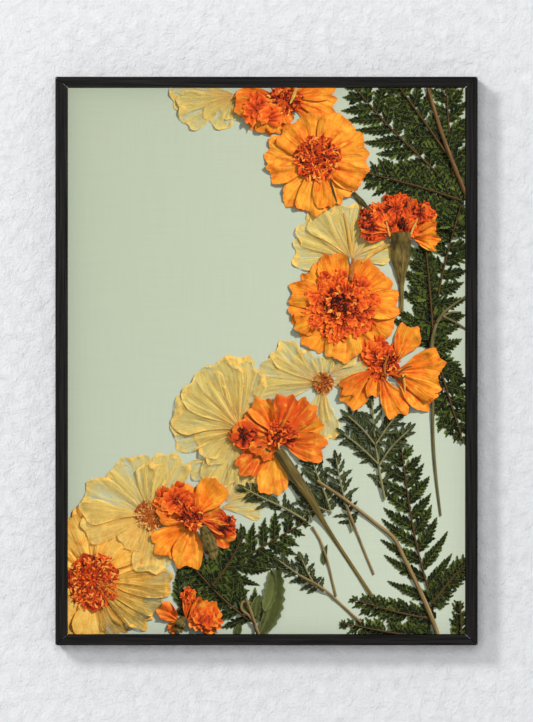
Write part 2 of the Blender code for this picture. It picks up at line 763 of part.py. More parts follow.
def build_greenery():
    fern = material("pressed_fern", (0.045, 0.085, 0.035), 0.7)
    leaf = material("pressed_leaf", (0.06, 0.11, 0.05), 0.7)
    pale_leaf = material("pale_leaf", (0.20, 0.27, 0.12), 0.7)
    stem = material("dry_stem", (0.24, 0.15, 0.07), 0.7)
    for name, (path, pairs, left, right) in FRONDS.items():
        add_frond(name, path, pairs, left, right, fern)
    for name, (path, widths, thickness, leaflets) in LEAVES.items():
        finish = leaf if leaflets else pale_leaf
        add_branching(name, path, widths, thickness * MM, finish, leaflets, steps=4)
    for name, (path, widths, thickness) in STEMS.items():
        add_branching(name, path, widths, thickness * MM, stem, steps=6)


def build_blossoms():
    pale_petal = material("pale_petal", (0.60, 0.50, 0.20), 0.6)
    pale_centre = material("pale_centre", (0.70, 0.32, 0.08), 0.8)
    petal = material("orange_petal", (0.85, 0.22, 0.02), 0.6)
    crest_red = material("crest_red", (0.50, 0.06, 0.01), 0.8)
    calyx = material("dry_calyx", (0.20, 0.13, 0.05), 0.7)
    random = np.random.default_rng(RING_SEED)
    for name, (centre, petals, stamens) in PALE_BLOSSOMS.items():
        add_petals(name + "_petals", centre, petals, PALE_THICKNESS, pale_petal, core=5.0)
        if stamens:
            add_crest(name + "_stamens", centre, stamens * MM, STAMEN_HEIGHT, pale_centre, turns=12)
    path, widths, thickness = CALYCES["marigold_bud"]
    add_branching("marigold_bud_calyx", path, widths, thickness * MM, calyx)
    for name, (centre, petals, crest) in MARIGOLDS.items():
        if petals is None:
            petals = full_ring(*FULL_RINGS[name], random)
        add_petals(name + "_petals", centre, petals, PETAL_THICKNESS, petal)
        if crest:
            crest_centre, radius, squash = crest
            add_crest(name + "_crest", crest_centre, radius * MM, CREST_HEIGHT, crest_red, squash=squash)
        if name in CALYCES and name != "marigold_bud":
            path, widths, thickness = CALYCES[name]
            add_branching(name + "_calyx", path, widths, thickness * MM, calyx)


clear_scene()
build_frame()
build_greenery()
build_blossoms()
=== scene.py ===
# A pressed flower frame. Dried marigolds, pale blossoms, leaves and fern fronds lie on a sage card,
# behind glass, in a slim black frame. Metres, +Z up, the picture faces -Y and the wall is at +Y.

import json
import math

import bmesh
import bpy
import numpy as np
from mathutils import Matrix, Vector

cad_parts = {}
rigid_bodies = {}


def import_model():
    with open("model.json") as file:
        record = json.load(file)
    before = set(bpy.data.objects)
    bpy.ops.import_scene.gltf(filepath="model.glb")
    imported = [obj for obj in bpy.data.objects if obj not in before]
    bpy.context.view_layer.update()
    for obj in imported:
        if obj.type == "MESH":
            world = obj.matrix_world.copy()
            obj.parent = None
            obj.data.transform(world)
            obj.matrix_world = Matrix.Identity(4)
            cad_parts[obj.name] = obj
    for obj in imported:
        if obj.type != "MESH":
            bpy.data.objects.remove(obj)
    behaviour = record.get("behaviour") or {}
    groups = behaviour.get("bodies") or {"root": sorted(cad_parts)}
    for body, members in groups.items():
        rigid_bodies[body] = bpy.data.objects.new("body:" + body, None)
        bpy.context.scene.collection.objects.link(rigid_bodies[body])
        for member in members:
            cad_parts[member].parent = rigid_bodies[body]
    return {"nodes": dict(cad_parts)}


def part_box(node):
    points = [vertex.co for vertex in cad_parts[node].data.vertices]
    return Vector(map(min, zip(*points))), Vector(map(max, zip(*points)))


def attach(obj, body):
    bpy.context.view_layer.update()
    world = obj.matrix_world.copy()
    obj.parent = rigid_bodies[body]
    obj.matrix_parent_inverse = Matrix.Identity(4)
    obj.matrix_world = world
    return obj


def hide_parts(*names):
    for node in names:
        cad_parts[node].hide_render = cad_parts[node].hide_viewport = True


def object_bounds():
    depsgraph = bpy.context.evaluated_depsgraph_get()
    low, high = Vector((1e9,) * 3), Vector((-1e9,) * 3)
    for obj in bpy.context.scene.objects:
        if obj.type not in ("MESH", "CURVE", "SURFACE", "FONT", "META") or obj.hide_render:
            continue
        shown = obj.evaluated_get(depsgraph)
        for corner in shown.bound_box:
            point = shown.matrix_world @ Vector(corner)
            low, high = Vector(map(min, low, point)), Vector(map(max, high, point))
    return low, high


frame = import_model()
cad_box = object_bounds()
scene = bpy.context.scene


# Camera. It looks straight at the middle of the frame through a long lens, so that the sides don't show
# and the card's edges stay parallel. The photograph's height covers a known length at the frame's face.

MM = 0.001
PIXEL = 0.56 * MM
PHOTO_HEIGHT = 722
FRAME_MIDDLE = (Vector(cad_box[0]) + Vector(cad_box[1])) / 2
FACE_Y = cad_box[0].y
CAMERA_DISTANCE = 3.0
SENSOR = 0.036

camera_data = bpy.data.cameras.new("camera")
camera_data.sensor_width = SENSOR / MM
camera_data.lens = SENSOR / MM * CAMERA_DISTANCE / (PHOTO_HEIGHT * PIXEL)
camera_data.clip_end = 20
camera = bpy.data.objects.new("camera", camera_data)
camera.location = (FRAME_MIDDLE.x, FACE_Y - CAMERA_DISTANCE, FRAME_MIDDLE.z)
camera.rotation_euler = (math.radians(90), 0, 0)
scene.collection.objects.link(camera)
scene.camera = camera
scene.view_settings.view_transform = "Standard"
scene.cycles.transparent_max_bounces = 32


# Light. A pale studio world fills everything. A soft lamp from the upper left throws the frame's shadow
# on the wall, a wide one in front softens it, one from the upper right rakes over the flowers alone and
# the fourth stands behind the wall for the frame's back.

WORLD_STRENGTH = 0.40
WALL_LAMP_AIM = Vector((0.62, 1.0, -0.55))
CARD_LAMP_AIM = Vector((-1.10, 1.0, -1.06))
WALL_FILL_AIM = Vector((0.05, 1.0, -0.10))
BACK_LAMP_AIM = Vector((-0.40, -1.0, -0.60))
LAMP_DISTANCE = 3.0

world = bpy.data.worlds.new("studio")
world.use_nodes = True
world.node_tree.nodes["Background"].inputs["Color"].default_value = (1.0, 1.0, 1.0, 1.0)
world.node_tree.nodes["Background"].inputs["Strength"].default_value = WORLD_STRENGTH
scene.world = world

lamps = {}
for lamp_name, aim, width, power in (
    ("wall_lamp", WALL_LAMP_AIM, 0.62, 38.5),
    ("wall_fill", WALL_FILL_AIM, 1.20, 34.0),
    ("card_lamp", CARD_LAMP_AIM, 0.26, 109.0),
    ("back_lamp", BACK_LAMP_AIM, 0.90, 42.0),
):
    lamp_data = bpy.data.lights.new(lamp_name, "AREA")
    lamp_data.shape = "DISK"
    lamp_data.size = width
    lamp_data.energy = power
    lamp = bpy.data.objects.new(lamp_name, lamp_data)
    lamp.location = FRAME_MIDDLE - aim.normalized() * LAMP_DISTANCE
    lamp.rotation_euler = aim.to_track_quat("-Z", "Y").to_euler()
    scene.collection.objects.link(lamp)
    lamps[lamp_name] = lamp


# Wall. Rough white plaster behind the frame, only there to catch its shadow. It shows from the front
# alone, and lets every other ray through, so that the frame's back can be looked at in full light.

WALL_GAP = 0.4 * MM
WALL_SIZE = 3.0


def feed(tree, node, feeds):
    """Sets a node's inputs, by name or number, each to a value or to the output that feeds it."""
    for name, value in feeds.items():
        socket = node.inputs[name]
        if isinstance(value, bpy.types.NodeSocket):
            tree.links.new(value, socket)
        else:
            socket.default_value = (*value, 1) if socket.type == "RGBA" else value


def add_node(tree, kind, feeds=None, **settings):
    """Adds a shader node with these settings and inputs."""
    node = tree.nodes.new("ShaderNode" + kind)
    for setting, value in settings.items():
        setattr(node, setting, value)
    feed(tree, node, feeds or {})
    return node


def new_material(name, feeds):
    """A material with these inputs of its Principled shader. Also gives its node tree and that shader."""
    material = bpy.data.materials.new(name)
    material.use_nodes = True
    shader = material.node_tree.nodes["Principled BSDF"]
    feed(material.node_tree, shader, feeds)
    return material, material.node_tree, shader


def object_place(tree):
    return add_node(tree, "TexCoord").outputs["Object"]


def noise(tree, place, scale, detail, roughness=0.5, distortion=0.0):
    pattern = add_node(tree, "TexNoise", {"Vector": place, "Scale": scale, "Detail": detail})
    feed(tree, pattern, {"Roughness": roughness, "Distortion": distortion})
    return pattern.outputs["Fac"]


def maths(tree, operation, *values, **settings):
    return add_node(tree, "Math", dict(enumerate(values)), operation=operation, **settings).outputs["Value"]


def bumps(tree, height, strength, distance):
    """The surface normals of a relief this high."""
    feeds = {"Height": height, "Strength": strength, "Distance": distance}
    return add_node(tree, "Bump", feeds).outputs["Normal"]


def blend_shaders(tree, share, first, second):
    """Makes the material's surface a blend of two shaders."""
    blend = add_node(tree, "MixShader", {"Fac": share, 1: first.outputs["BSDF"], 2: second.outputs["BSDF"]})
    feed(tree, tree.nodes["Material Output"], {"Surface": blend.outputs["Shader"]})


bpy.ops.mesh.primitive_plane_add(
    size=WALL_SIZE,
    location=(FRAME_MIDDLE.x, cad_box[1].y + WALL_GAP, FRAME_MIDDLE.z),
    rotation=(math.radians(90), 0, 0),
)
wall = bpy.context.object
wall.name = "wall"
bpy.ops.object.transform_apply(location=True, rotation=True, scale=True)

plaster, tree, shader = new_material("white_plaster", {"Base Color": (0.85, 0.86, 0.88), "Roughness": 0.9})
coarse = noise(tree, object_place(tree), 130, 6, 0.70, 0.25)
feed(tree, shader, {"Normal": bumps(tree, coarse, 1.0, 3.0 * MM)})
seen = add_node(tree, "LightPath").outputs["Is Camera Ray"]
from_behind = add_node(tree, "NewGeometry").outputs["Backfacing"]
from_front = maths(tree, "SUBTRACT", seen, from_behind, use_clamp=True)
blend_shaders(tree, from_front, add_node(tree, "BsdfTransparent"), shader)
wall.data.materials.append(plaster)


# Rails. Four lengths of slim black-stained wood, mitred and glued at the corners, with a rebate behind
# the lip for the glass. Each is a planed stick with softened edges, and its grain runs along it.

LIP_THICKNESS = 2.0 * MM
REBATE_SHARE = 0.55
EDGE_ROUNDING = 0.35 * MM
MITRE_GAP = 0.03 * MM
SAME_POINT = 0.001 * MM


def new_group(name, takes, gives):
    """A shader node group, with the sockets that it takes and gives named by their kind.

    Gives the group's tree, the values that it takes and the node that its results go into."""
    group = bpy.data.node_groups.new(name, "ShaderNodeTree")
    for in_out, kinds in (("INPUT", takes), ("OUTPUT", gives)):
        for kind, socket_names in kinds.items():
            for socket_name in socket_names:
                group.interface.new_socket(socket_name, in_out=in_out, socket_type="NodeSocket" + kind)
    return group, group.nodes.new("NodeGroupInput").outputs, group.nodes.new("NodeGroupOutput")


def map_range(tree, value, from_min, from_max, to_min=0.0, to_max=1.0):
    feeds = {"Value": value, "From Min": from_min, "From Max": from_max, "To Min": to_min, "To Max": to_max}
    return add_node(tree, "MapRange", feeds).outputs["Result"]


def mix(tree, share, first, second, **settings):
    """A colour between two, with this share of the second."""
    mixed = add_node(tree, "Mix", data_type="RGBA", **settings)
    feed(tree, mixed, {"Factor": share, "A": first, "B": second})
    return mixed.outputs["Result"]


def stretched(tree, place, scale):
    return add_node(tree, "Mapping", {"Vector": place, "Scale": scale}).outputs["Vector"]


grain_group, given, result = new_group(
    "wood_grain",
    {"Vector": ("Vector",), "Color": ("Dark", "Light")},
    {"Color": ("Color",), "Float": ("Roughness", "Height")},
)
streaks = noise(grain_group, given["Vector"], 1.0, 5, 0.65)
contrast = map_range(grain_group, streaks, 0.42, 0.62)
stained = mix(grain_group, contrast, given["Dark"], given["Light"])
sheen = map_range(grain_group, streaks, 0.0, 1.0, 0.62, 0.42)
feed(grain_group, result, {"Color": stained, "Roughness": sheen, "Height": streaks})
BLACK_STAIN = {"Dark": (0.0012, 0.0011, 0.0010), "Light": (0.0140, 0.0122, 0.0108)}


def stained_wood(name, stretch):
    """A black-stained wood whose grain runs along the axis with the smallest stretch."""
    wood, tree, shader = new_material(name, {"Specular IOR Level": 0.08})
    grain = add_node(tree, "Group", node_tree=grain_group)
    feed(tree, grain, dict(BLACK_STAIN, Vector=stretched(tree, object_place(tree), stretch)))
    feed(tree, shader, {"Base Color": grain.outputs["Color"], "Roughness": grain.outputs["Roughness"]})
    feed(tree, shader, {"Normal": bumps(tree, grain.outputs["Height"], 0.35, 0.15 * MM)})
    return wood


upright_black = stained_wood("upright_black_wood", (900, 900, 22))
level_black = stained_wood("level_black_wood", (22, 900, 900))


def cut_mesh(work, point, normal, trim=False):
    """Cuts a mesh with a plane, and trims off what lies past it if asked."""
    geom = work.verts[:] + work.edges[:] + work.faces[:]
    cut = bmesh.ops.bisect_plane(work, geom=geom, plane_co=point, plane_no=normal, clear_outer=trim)
    return cut["geom_cut"]


def soften_edges(piece, width, segments, angle):
    """Rounds the edges where the faces turn by more than an angle in degrees."""
    soften = piece.modifiers.new("soften", "BEVEL")
    soften.width = width
    soften.segments = segments
    soften.limit_method = "ANGLE"
    soften.angle_limit = math.radians(angle)
    return soften


def add_rail(side):
    """Models one rail from a block: cuts its rebate, mitres its ends and softens its edges."""
    low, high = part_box("rail_" + side)
    upright = side in ("left", "right")
    long_axis, cross_axis = (2, 0) if upright else (0, 2)
    outward = 1 if side in ("right", "top") else -1
    bpy.ops.object.select_all(action="DESELECT")
    bpy.ops.mesh.primitive_cube_add(size=1, location=(low + high) / 2)
    rail = bpy.context.object
    rail.name = "black_rail_" + side
    rail.scale = high - low
    bpy.ops.object.transform_apply(location=True, rotation=True, scale=True)
    work = bmesh.new()
    work.from_mesh(rail.data)
    face_width = (high - low)[cross_axis]
    step = face_width * REBATE_SHARE
    outer = high[cross_axis] if outward > 0 else low[cross_axis]
    cross = [0.0, 0.0, 0.0]
    cross[cross_axis] = outer - outward * step
    normal = [0.0, 0.0, 0.0]
    normal[cross_axis] = 1.0
    cut_mesh(work, cross, normal)
    back = [
        face
        for face in work.faces
        if face.normal.y > 0.9 and (face.calc_center_median()[cross_axis] - cross[cross_axis]) * outward < 0
    ]
    rebate_depth = (high - low).y - LIP_THICKNESS
    lowered = bmesh.ops.extrude_face_region(work, geom=back)
    bmesh.ops.delete(work, geom=back, context="FACES_ONLY")
    moved = [item for item in lowered["geom"] if isinstance(item, bmesh.types.BMVert)]
    bmesh.ops.translate(work, verts=moved, vec=(0, -rebate_depth, 0))
    bmesh.ops.remove_doubles(work, verts=work.verts, dist=SAME_POINT)
    folded = [face for face in work.faces if face.calc_area() < 1e-12]
    bmesh.ops.delete(work, geom=folded, context="FACES_ONLY")
    for end in (-1, 1):
        corner = [0.0, 0.0, 0.0]
        corner[long_axis] = high[long_axis] if end > 0 else low[long_axis]
        corner[cross_axis] = outer
        other = frame_faces["level" if upright else "upright"]
        slope = [0.0, 0.0, 0.0]
        slope[long_axis] = face_width * end
        slope[cross_axis] = -other * outward
        way = Vector(slope).normalized()
        point = Vector(corner) - way * MITRE_GAP
        cut = cut_mesh(work, point, way, trim=True)
        edges = [item for item in cut if isinstance(item, bmesh.types.BMEdge)]
        bmesh.ops.holes_fill(work, edges=edges, sides=0)
    bmesh.ops.recalc_face_normals(work, faces=work.faces)
    work.to_mesh(rail.data)
    work.free()
    soften = soften_edges(rail, EDGE_ROUNDING, 3, 60)
    bpy.ops.object.modifier_apply(modifier=soften.name)
    bpy.ops.object.shade_smooth_by_angle(angle=math.radians(35))
    rail.data.materials.append(upright_black if upright else level_black)
    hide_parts("rail_" + side)
    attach(rail, "root")


level_low, level_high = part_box("rail_top")
upright_low, upright_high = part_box("rail_left")
frame_faces = {"level": (level_high - level_low).z, "upright": (upright_high - upright_low).x}
for side in ("left", "right", "top", "bottom"):
    add_rail(side)


# Glass. One clear pane behind the lip. It lets the light straight through and only mirrors a little of
# the room, more of it at a slant, as picture glass does.

glass, tree, shader = new_material("picture_glass", {})
tree.nodes.remove(shader)
clear = add_node(tree, "BsdfTransparent", {"Color": (0.985, 0.995, 0.99)})
mirrored = add_node(tree, "BsdfGlossy", {"Roughness": 0.02})
slant = add_node(tree, "LayerWeight", {"Blend": 0.5}).outputs["Facing"]
mirrored_share = maths(tree, "MULTIPLY_ADD", maths(tree, "POWER", slant, 5.0), 0.75, 0.004)
blend_shaders(tree, mirrored_share, clear, mirrored)


def finish_node(name, material):
    """Gives a CAD node its material."""
    node = frame["nodes"][name]
    node.data.materials.clear()
    node.data.materials.append(material)


finish_node("glass_pane", glass)


# Card. Sage green card with a fine linen weave, made a little lighter towards the lower right by painted
# light. The flowers lie on it, and its edges are under the lip.

THREAD = 0.42 * MM
CARD_SAGE = (0.505, 0.550, 0.412)
CARD_PAINTED_LIGHT = (0.605, 0.655, 0.520)

card, tree, shader = new_material("sage_linen_card", {"Roughness": 0.92, "Specular IOR Level": 0.15})
place = object_place(tree)
warp = noise(tree, stretched(tree, place, (1 / THREAD, 1, 26)), 1.0, 2)
weft = noise(tree, stretched(tree, place, (26, 1, 1 / THREAD)), 1.0, 2)
weave = maths(tree, "ADD", warp, weft)
# Painted light: the card's sage is mixed towards a paler one across it, lighter towards the lower right
drift = add_node(tree, "Mapping", {"Vector": place, "Rotation": (0, math.radians(-55), 0)})
painted_light_fade = add_node(tree, "SeparateXYZ", {"Vector": drift.outputs["Vector"]}).outputs["X"]
card_tint_with_painted_light = mix(tree, map_range(tree, painted_light_fade, -0.05, 0.28), CARD_SAGE, CARD_PAINTED_LIGHT)
woven = mix(tree, 1.0, card_tint_with_painted_light, map_range(tree, weave, 0.6, 1.4, 0.95, 1.05), blend_type="MULTIPLY")
feed(tree, shader, {"Base Color": woven, "Normal": bumps(tree, weave, 0.25, 0.12 * MM)})
finish_node("backing_card", card)


# Spacer. A ring cut from white foam board that stands between the card and the glass, under the lip.

foam, tree, shader = new_material("white_foam_board", {"Base Color": (0.82, 0.82, 0.79), "Roughness": 0.8})
cells = add_node(tree, "TexVoronoi", {"Vector": object_place(tree), "Scale": 2500}).outputs["Distance"]
feed(tree, shader, {"Normal": bumps(tree, cells, 1.0, 0.05 * MM)})
finish_node("spacer", foam)


# Backing board. Brown hardboard that closes the back, pressed from fibres, so it is finely speckled.


def colour_ramp(tree, value, stops):
    """A value turned into a colour on a scale of stops, each a position and its colour."""
    scale = add_node(tree, "ValToRGB", {"Fac": value})
    ends = scale.color_ramp.elements[0], scale.color_ramp.elements[1]
    for end, (position, colour) in zip(ends, (stops[0], stops[-1])):
        end.position = position
        end.color = (*colour, 1)
    for position, colour in stops[1:-1]:
        scale.color_ramp.elements.new(position).color = (*colour, 1)
    return scale.outputs["Color"]


hardboard, tree, shader = new_material("brown_hardboard", {"Roughness": 0.82})
place = object_place(tree)
fibres = noise(tree, place, 900, 5, distortion=1.6)
clouds = noise(tree, place, 620, 6)
pressed_fibres = maths(tree, "MULTIPLY_ADD", fibres, 0.65, clouds)
browns = colour_ramp(tree, pressed_fibres, ((0.45, (0.115, 0.062, 0.030)), (1.0, (0.330, 0.200, 0.105))))
feed(tree, shader, {"Base Color": browns, "Normal": bumps(tree, fibres, 0.3, 0.1 * MM)})
finish_node("backing_board", hardboard)


# Hanger, nails and glazing points. Stamped steel, brass plated on the sawtooth strip and its nails, and
# zinc on the points that hold the board in. Their stamped edges are slightly rounded.


plating_group, given, result = new_group(
    "plating",
    {"Vector": ("Position",), "Color": ("Bright", "Dull"), "Float": ("Sheen",)},
    {"Color": ("Color",), "Float": ("Roughness",)},
)
patches = noise(plating_group, given["Position"], 420, 4)
patched = mix(plating_group, patches, given["Bright"], given["Dull"])
rubbed = maths(plating_group, "MULTIPLY_ADD", patches, 0.25, given["Sheen"])
feed(plating_group, result, {"Color": patched, "Roughness": rubbed})


def plated_metal(name, bright, dull, sheen):
    """Thin plating, duller in patches and finely brushed."""
    metal, tree, shader = new_material(name, {"Metallic": 1.0})
    plating = add_node(tree, "Group", node_tree=plating_group)
    feed(tree, plating, {"Position": object_place(tree), "Bright": bright, "Dull": dull, "Sheen": sheen})
    feed(tree, shader, {"Base Color": plating.outputs["Color"], "Roughness": plating.outputs["Roughness"]})
    return metal


brass = plated_metal("brass_plating", (0.72, 0.52, 0.22), (0.45, 0.31, 0.13), 0.28)
zinc = plated_metal("dull_zinc", (0.60, 0.61, 0.60), (0.36, 0.37, 0.37), 0.38)
STAMPED_ROUNDING = 0.12 * MM
for node_name, metal in (
    ("sawtooth_hanger", brass),
    ("hanger_nail_left", brass),
    ("hanger_nail_right", brass),
    ("glazing_point_left_upper", zinc),
    ("glazing_point_left_lower", zinc),
    ("glazing_point_right_upper", zinc),
    ("glazing_point_right_lower", zinc),
):
    finish_node(node_name, metal)
    join = frame["nodes"][node_name].modifiers.new("join", "WELD")
    join.merge_threshold = SAME_POINT
    soften_edges(frame["nodes"][node_name], STAMPED_ROUNDING, 2, 40)


# Fern fronds. Dried and pressed flat, each is a brown rachis with pinnae to both sides, and each pinna
# carries rows of small toothed pinnules. They lie lowest, and later pieces settle on top of them.

PHOTO_LEFT = 55.2
PHOTO_TOP = 76.6
BED_CELL = 0.25 * MM
CUT_OVERRUN = 0.5 * MM
CARD_FRONT_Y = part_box("backing_card")[0].y
ROOM = CARD_FRONT_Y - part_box("glass_pane")[1].y
CUT_LOW_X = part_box("rail_left")[1].x - CUT_OVERRUN
CUT_HIGH_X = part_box("rail_right")[0].x + CUT_OVERRUN
CUT_LOW_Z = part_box("rail_bottom")[1].z - CUT_OVERRUN
CUT_HIGH_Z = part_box("rail_top")[0].z + CUT_OVERRUN
FRAME_LEFT_X = cad_box[0].x
FRAME_TOP_Z = cad_box[1].z
BED_COLUMNS = int((CUT_HIGH_X - CUT_LOW_X) / BED_CELL) + 1
BED_ROWS = int((CUT_HIGH_Z - CUT_LOW_Z) / BED_CELL) + 1

# How high pieces may stand and still keep clear of the glass
PILE_LIMIT = ROOM - 1.1 * MM
SHEET_LIMIT = ROOM - 0.6 * MM
FLORET_LIMIT = ROOM - 0.5 * MM
DOME_LIMIT = ROOM - 0.9 * MM
RIB_LIMIT = ROOM - 1.5 * MM
FERN_LIMIT = 3.0 * MM

bed = np.zeros((BED_COLUMNS, BED_ROWS))
pressed = []
random = np.random.default_rng(11)


def card_point(px, py):
    """The place on the card, as (x, z), of a pixel of the photograph."""
    return np.array((FRAME_LEFT_X + (px - PHOTO_LEFT) * PIXEL, FRAME_TOP_Z - (py - PHOTO_TOP) * PIXEL))


def bed_cells(x, z):
    column = np.clip(((x - CUT_LOW_X) / BED_CELL).astype(int), 0, BED_COLUMNS - 1)
    row = np.clip(((z - CUT_LOW_Z) / BED_CELL).astype(int), 0, BED_ROWS - 1)
    return column, row


def bed_height(x, z, reach=0.5 * MM):
    """How high what lies on the card stands at or close beside these points."""
    tops = [bed[bed_cells(x + i * reach, z + j * reach)] for i in (-1, 0, 1) for j in (-1, 0, 1)]
    return np.max(tops, axis=0)


def pile_up(x, z, top):
    np.maximum.at(bed, bed_cells(x, z), top)


def between(grid, times):
    """A grid of values with extra points between its own."""
    rows = np.linspace(0, grid.shape[0] - 1, (grid.shape[0] - 1) * times + 1)
    columns = np.linspace(0, grid.shape[1] - 1, (grid.shape[1] - 1) * times + 1)
    tall = np.stack([np.interp(rows, np.arange(grid.shape[0]), column) for column in grid.T], axis=1)
    return np.stack([np.interp(columns, np.arange(grid.shape[1]), row) for row in tall])


def settle(x, z, relief, clearance, rounds=12):
    """The heights of a soft sheet laid on the bed: it touches what stands up and sags between."""
    floor = bed_height(x, z)
    height = floor.copy()
    for _ in range(rounds):
        wide = np.pad(height, 1, mode="edge")
        around = (wide[:-2, 1:-1] + wide[2:, 1:-1] + wide[1:-1, :-2] + wide[1:-1, 2:]) / 4
        height = np.maximum(floor, around)
    free = np.clip((PILE_LIMIT - height) / (2.2 * MM), 0.12, 1.0)
    return height + clearance + (relief - relief.min()) * free


# What each point of a specimen's mesh is marked with, for its material: how far along and across its
# petal or leaflet it lies, that one's own tone, and whether it is on a rib
MARKS = ("along", "across", "tone", "rib")


def new_batch():
    return {"points": [], "faces": [], "count": 0, **{mark: [] for mark in MARKS}}


def add_points(batch, x, z, height, faces, along, across, tone, rib):
    size = x.size
    batch["points"].append(np.stack([x.ravel(), CARD_FRONT_Y - height.ravel(), z.ravel()], axis=1))
    for mark, values in zip(MARKS, (along, across, tone, rib)):
        batch[mark].append(np.broadcast_to(values, x.shape).ravel())
    batch["faces"] += [tuple(corner + batch["count"] for corner in face) for face in faces]
    batch["count"] += size


def add_sheet(batch, x, z, height, along=0.5, across=0.0, tone=0.5, rib=0.0, thickness=0.1 * MM):
    """Adds one sheet, given as a grid of points, and piles it on the bed."""
    rows, columns = x.shape
    index = np.arange(rows * columns).reshape(rows, columns)
    quads = np.stack([index[:-1, :-1], index[:-1, 1:], index[1:, 1:], index[1:, :-1]], axis=-1)
    add_points(batch, x, z, height, quads.reshape(-1, 4).tolist(), along, across, tone, rib)
    pile_up(between(x, 4), between(z, 4), between(height, 4) + thickness)


def smooth_path(points, count):
    """A path eased through its points by cutting its corners, as evenly spaced points."""
    path = np.array(points, float)
    for _ in range(3):
        inner = np.stack([path[:-1] * 0.75 + path[1:] * 0.25, path[:-1] * 0.25 + path[1:] * 0.75], axis=1)
        path = np.concatenate([path[:1], inner.reshape(-1, 2), path[-1:]])
    steps = np.concatenate([[0], np.cumsum(np.linalg.norm(np.diff(path, axis=0), axis=1))])
    even = np.linspace(0, steps[-1], count)
    return np.stack([np.interp(even, steps, path[:, 0]), np.interp(even, steps, path[:, 1])], axis=1)


def line_through(path_px, count):
    """A smooth path through pixels of the photograph."""
    return smooth_path([card_point(*point) for point in path_px], count)


def headings(path):
    steps = np.gradient(path, axis=0)
    return np.arctan2(steps[:, 1], steps[:, 0])


def set_out(base, turn, ahead, beside):
    """The points, as x and z, this far ahead of a base and this far to the left of its heading."""
    x = base[0] + ahead * np.cos(turn) - beside * np.sin(turn)
    z = base[1] + ahead * np.sin(turn) + beside * np.cos(turn)
    return x, z


RIB_PROFILE = np.array((-1.0, -0.72, 0.0, 0.72, 1.0))


def add_rib(batch, path, widths, tone=0.5, rib=1.0, flatness=0.55, clearance=0.05 * MM):
    """Adds a rounded rib or stem along a path, with its widths in millimetres from end to end."""
    count = len(path)
    width = np.interp(np.linspace(0, 1, count), np.linspace(0, 1, len(widths)), np.array(widths) * MM)
    turn = headings(path)
    across = RIB_PROFILE[None, :] * width[:, None] / 2
    x, z = set_out((path[:, :1], path[:, 1:]), turn[:, None], 0.0, across)
    under = settle(x, z, np.zeros(x.shape), clearance, rounds=30)
    under = np.maximum(under, under.max(axis=1, keepdims=True))
    under = np.minimum(under, RIB_LIMIT)
    crown = np.sqrt(1 - 0.96 * RIB_PROFILE**2)[None, :] * width[:, None] * flatness
    along = np.linspace(0, 1, count)[:, None]
    add_sheet(batch, x, z, under + crown, along, RIB_PROFILE[None, :], tone, rib)


def finish_specimen(name, batch, thickness, material):
    """Makes the piece from its sheets, trims it at the card's edges and gives the sheets their thickness.

    It takes the place of the CAD node with its name, where there is one."""
    mesh = bpy.data.meshes.new("pressed_" + name)
    mesh.from_pydata(np.concatenate(batch["points"]), [], batch["faces"])
    for mark in MARKS:
        layer = mesh.attributes.new(mark, "FLOAT", "POINT")
        layer.data.foreach_set("value", np.concatenate(batch[mark]).astype(np.float32))
    piece = bpy.data.objects.new("pressed_" + name, mesh)
    scene.collection.objects.link(piece)
    work = bmesh.new()
    work.from_mesh(mesh)
    for corner, outward in (
        ((CUT_LOW_X, 0, 0), (-1, 0, 0)),
        ((CUT_HIGH_X, 0, 0), (1, 0, 0)),
        ((0, 0, CUT_LOW_Z), (0, 0, -1)),
        ((0, 0, CUT_HIGH_Z), (0, 0, 1)),
    ):
        cut_mesh(work, corner, outward, trim=True)
    work.to_mesh(mesh)
    work.free()
    bpy.ops.object.select_all(action="DESELECT")
    piece.select_set(True)
    bpy.context.view_layer.objects.active = piece
    body = piece.modifiers.new("body", "SOLIDIFY")
    body.thickness = thickness
    body.offset = -1
    bpy.ops.object.modifier_apply(modifier=body.name)
    bpy.ops.object.shade_smooth_by_angle(angle=math.radians(50))
    mesh.materials.append(material)
    nodes = [name] if name in frame["nodes"] else []
    if nodes:
        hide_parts(*nodes)
    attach(piece, "root")
    pressed.append(piece)


# A pinnule's outline: shares of its length and of half its width, from base to tip, with four teeth
PINNULE_EDGE = (
    (0.02, 0.35),
    (0.17, 0.95),
    (0.23, 0.62),
    (0.39, 1.00),
    (0.45, 0.62),
    (0.61, 0.86),
    (0.67, 0.48),
    (0.81, 0.62),
    (0.86, 0.30),
)
EDGE_COUNT = len(PINNULE_EDGE)
PINNULE_FACES = (
    (0, *range(2 + EDGE_COUNT, 2 + 2 * EDGE_COUNT), 1),
    (1, *reversed(range(2, 2 + EDGE_COUNT)), 0),
)


def add_pinnules(batch, base, turn, length, width, height, tilt, tone):
    """Adds many toothed leaflets at once, each with a fold along its middle."""
    edge = np.array(PINNULE_EDGE)
    out = np.concatenate([[0.0, 1.0], edge[:, 0], edge[:, 0]])
    side = np.concatenate([[0.0, 0.0], edge[:, 1], -edge[:, 1]])
    ahead = out[None, :] * length[:, None]
    beside = side[None, :] * width[:, None] / 2
    x, z = set_out((base[:, :1], base[:, 1:]), turn[:, None], ahead, beside)
    # Each half slopes down from the fold, and the whole leaflet leans to one side
    level = height[:, None] + tilt[:, None] * ahead - np.abs(side)[None, :] * width[:, None] * 0.08
    level = level + side[None, :] * width[:, None] * 0.15
    level = np.maximum(level, 0.12 * MM)
    firsts = range(0, len(base) * len(out), len(out))
    faces = [tuple(corner + first for corner in face) for first in firsts for face in PINNULE_FACES]
    add_points(batch, x, z, level, faces, out[None, :], side[None, :], tone[:, None], 0.0)
    for share in (0.0, 0.25, 0.5, 0.75, 1.0):
        for half in (-0.5, 0.0, 0.5):
            x, z = set_out((base[:, 0], base[:, 1]), turn, length * share, width * half * (1 - share))
            pile_up(x, z, height + 0.12 * MM)


PINNULE_GAP = 2.0 * MM
PINNULE_LENGTH = 6.0 * MM
PINNULE_WIDTH = 3.0 * MM
BLADE_SHARE = 0.46


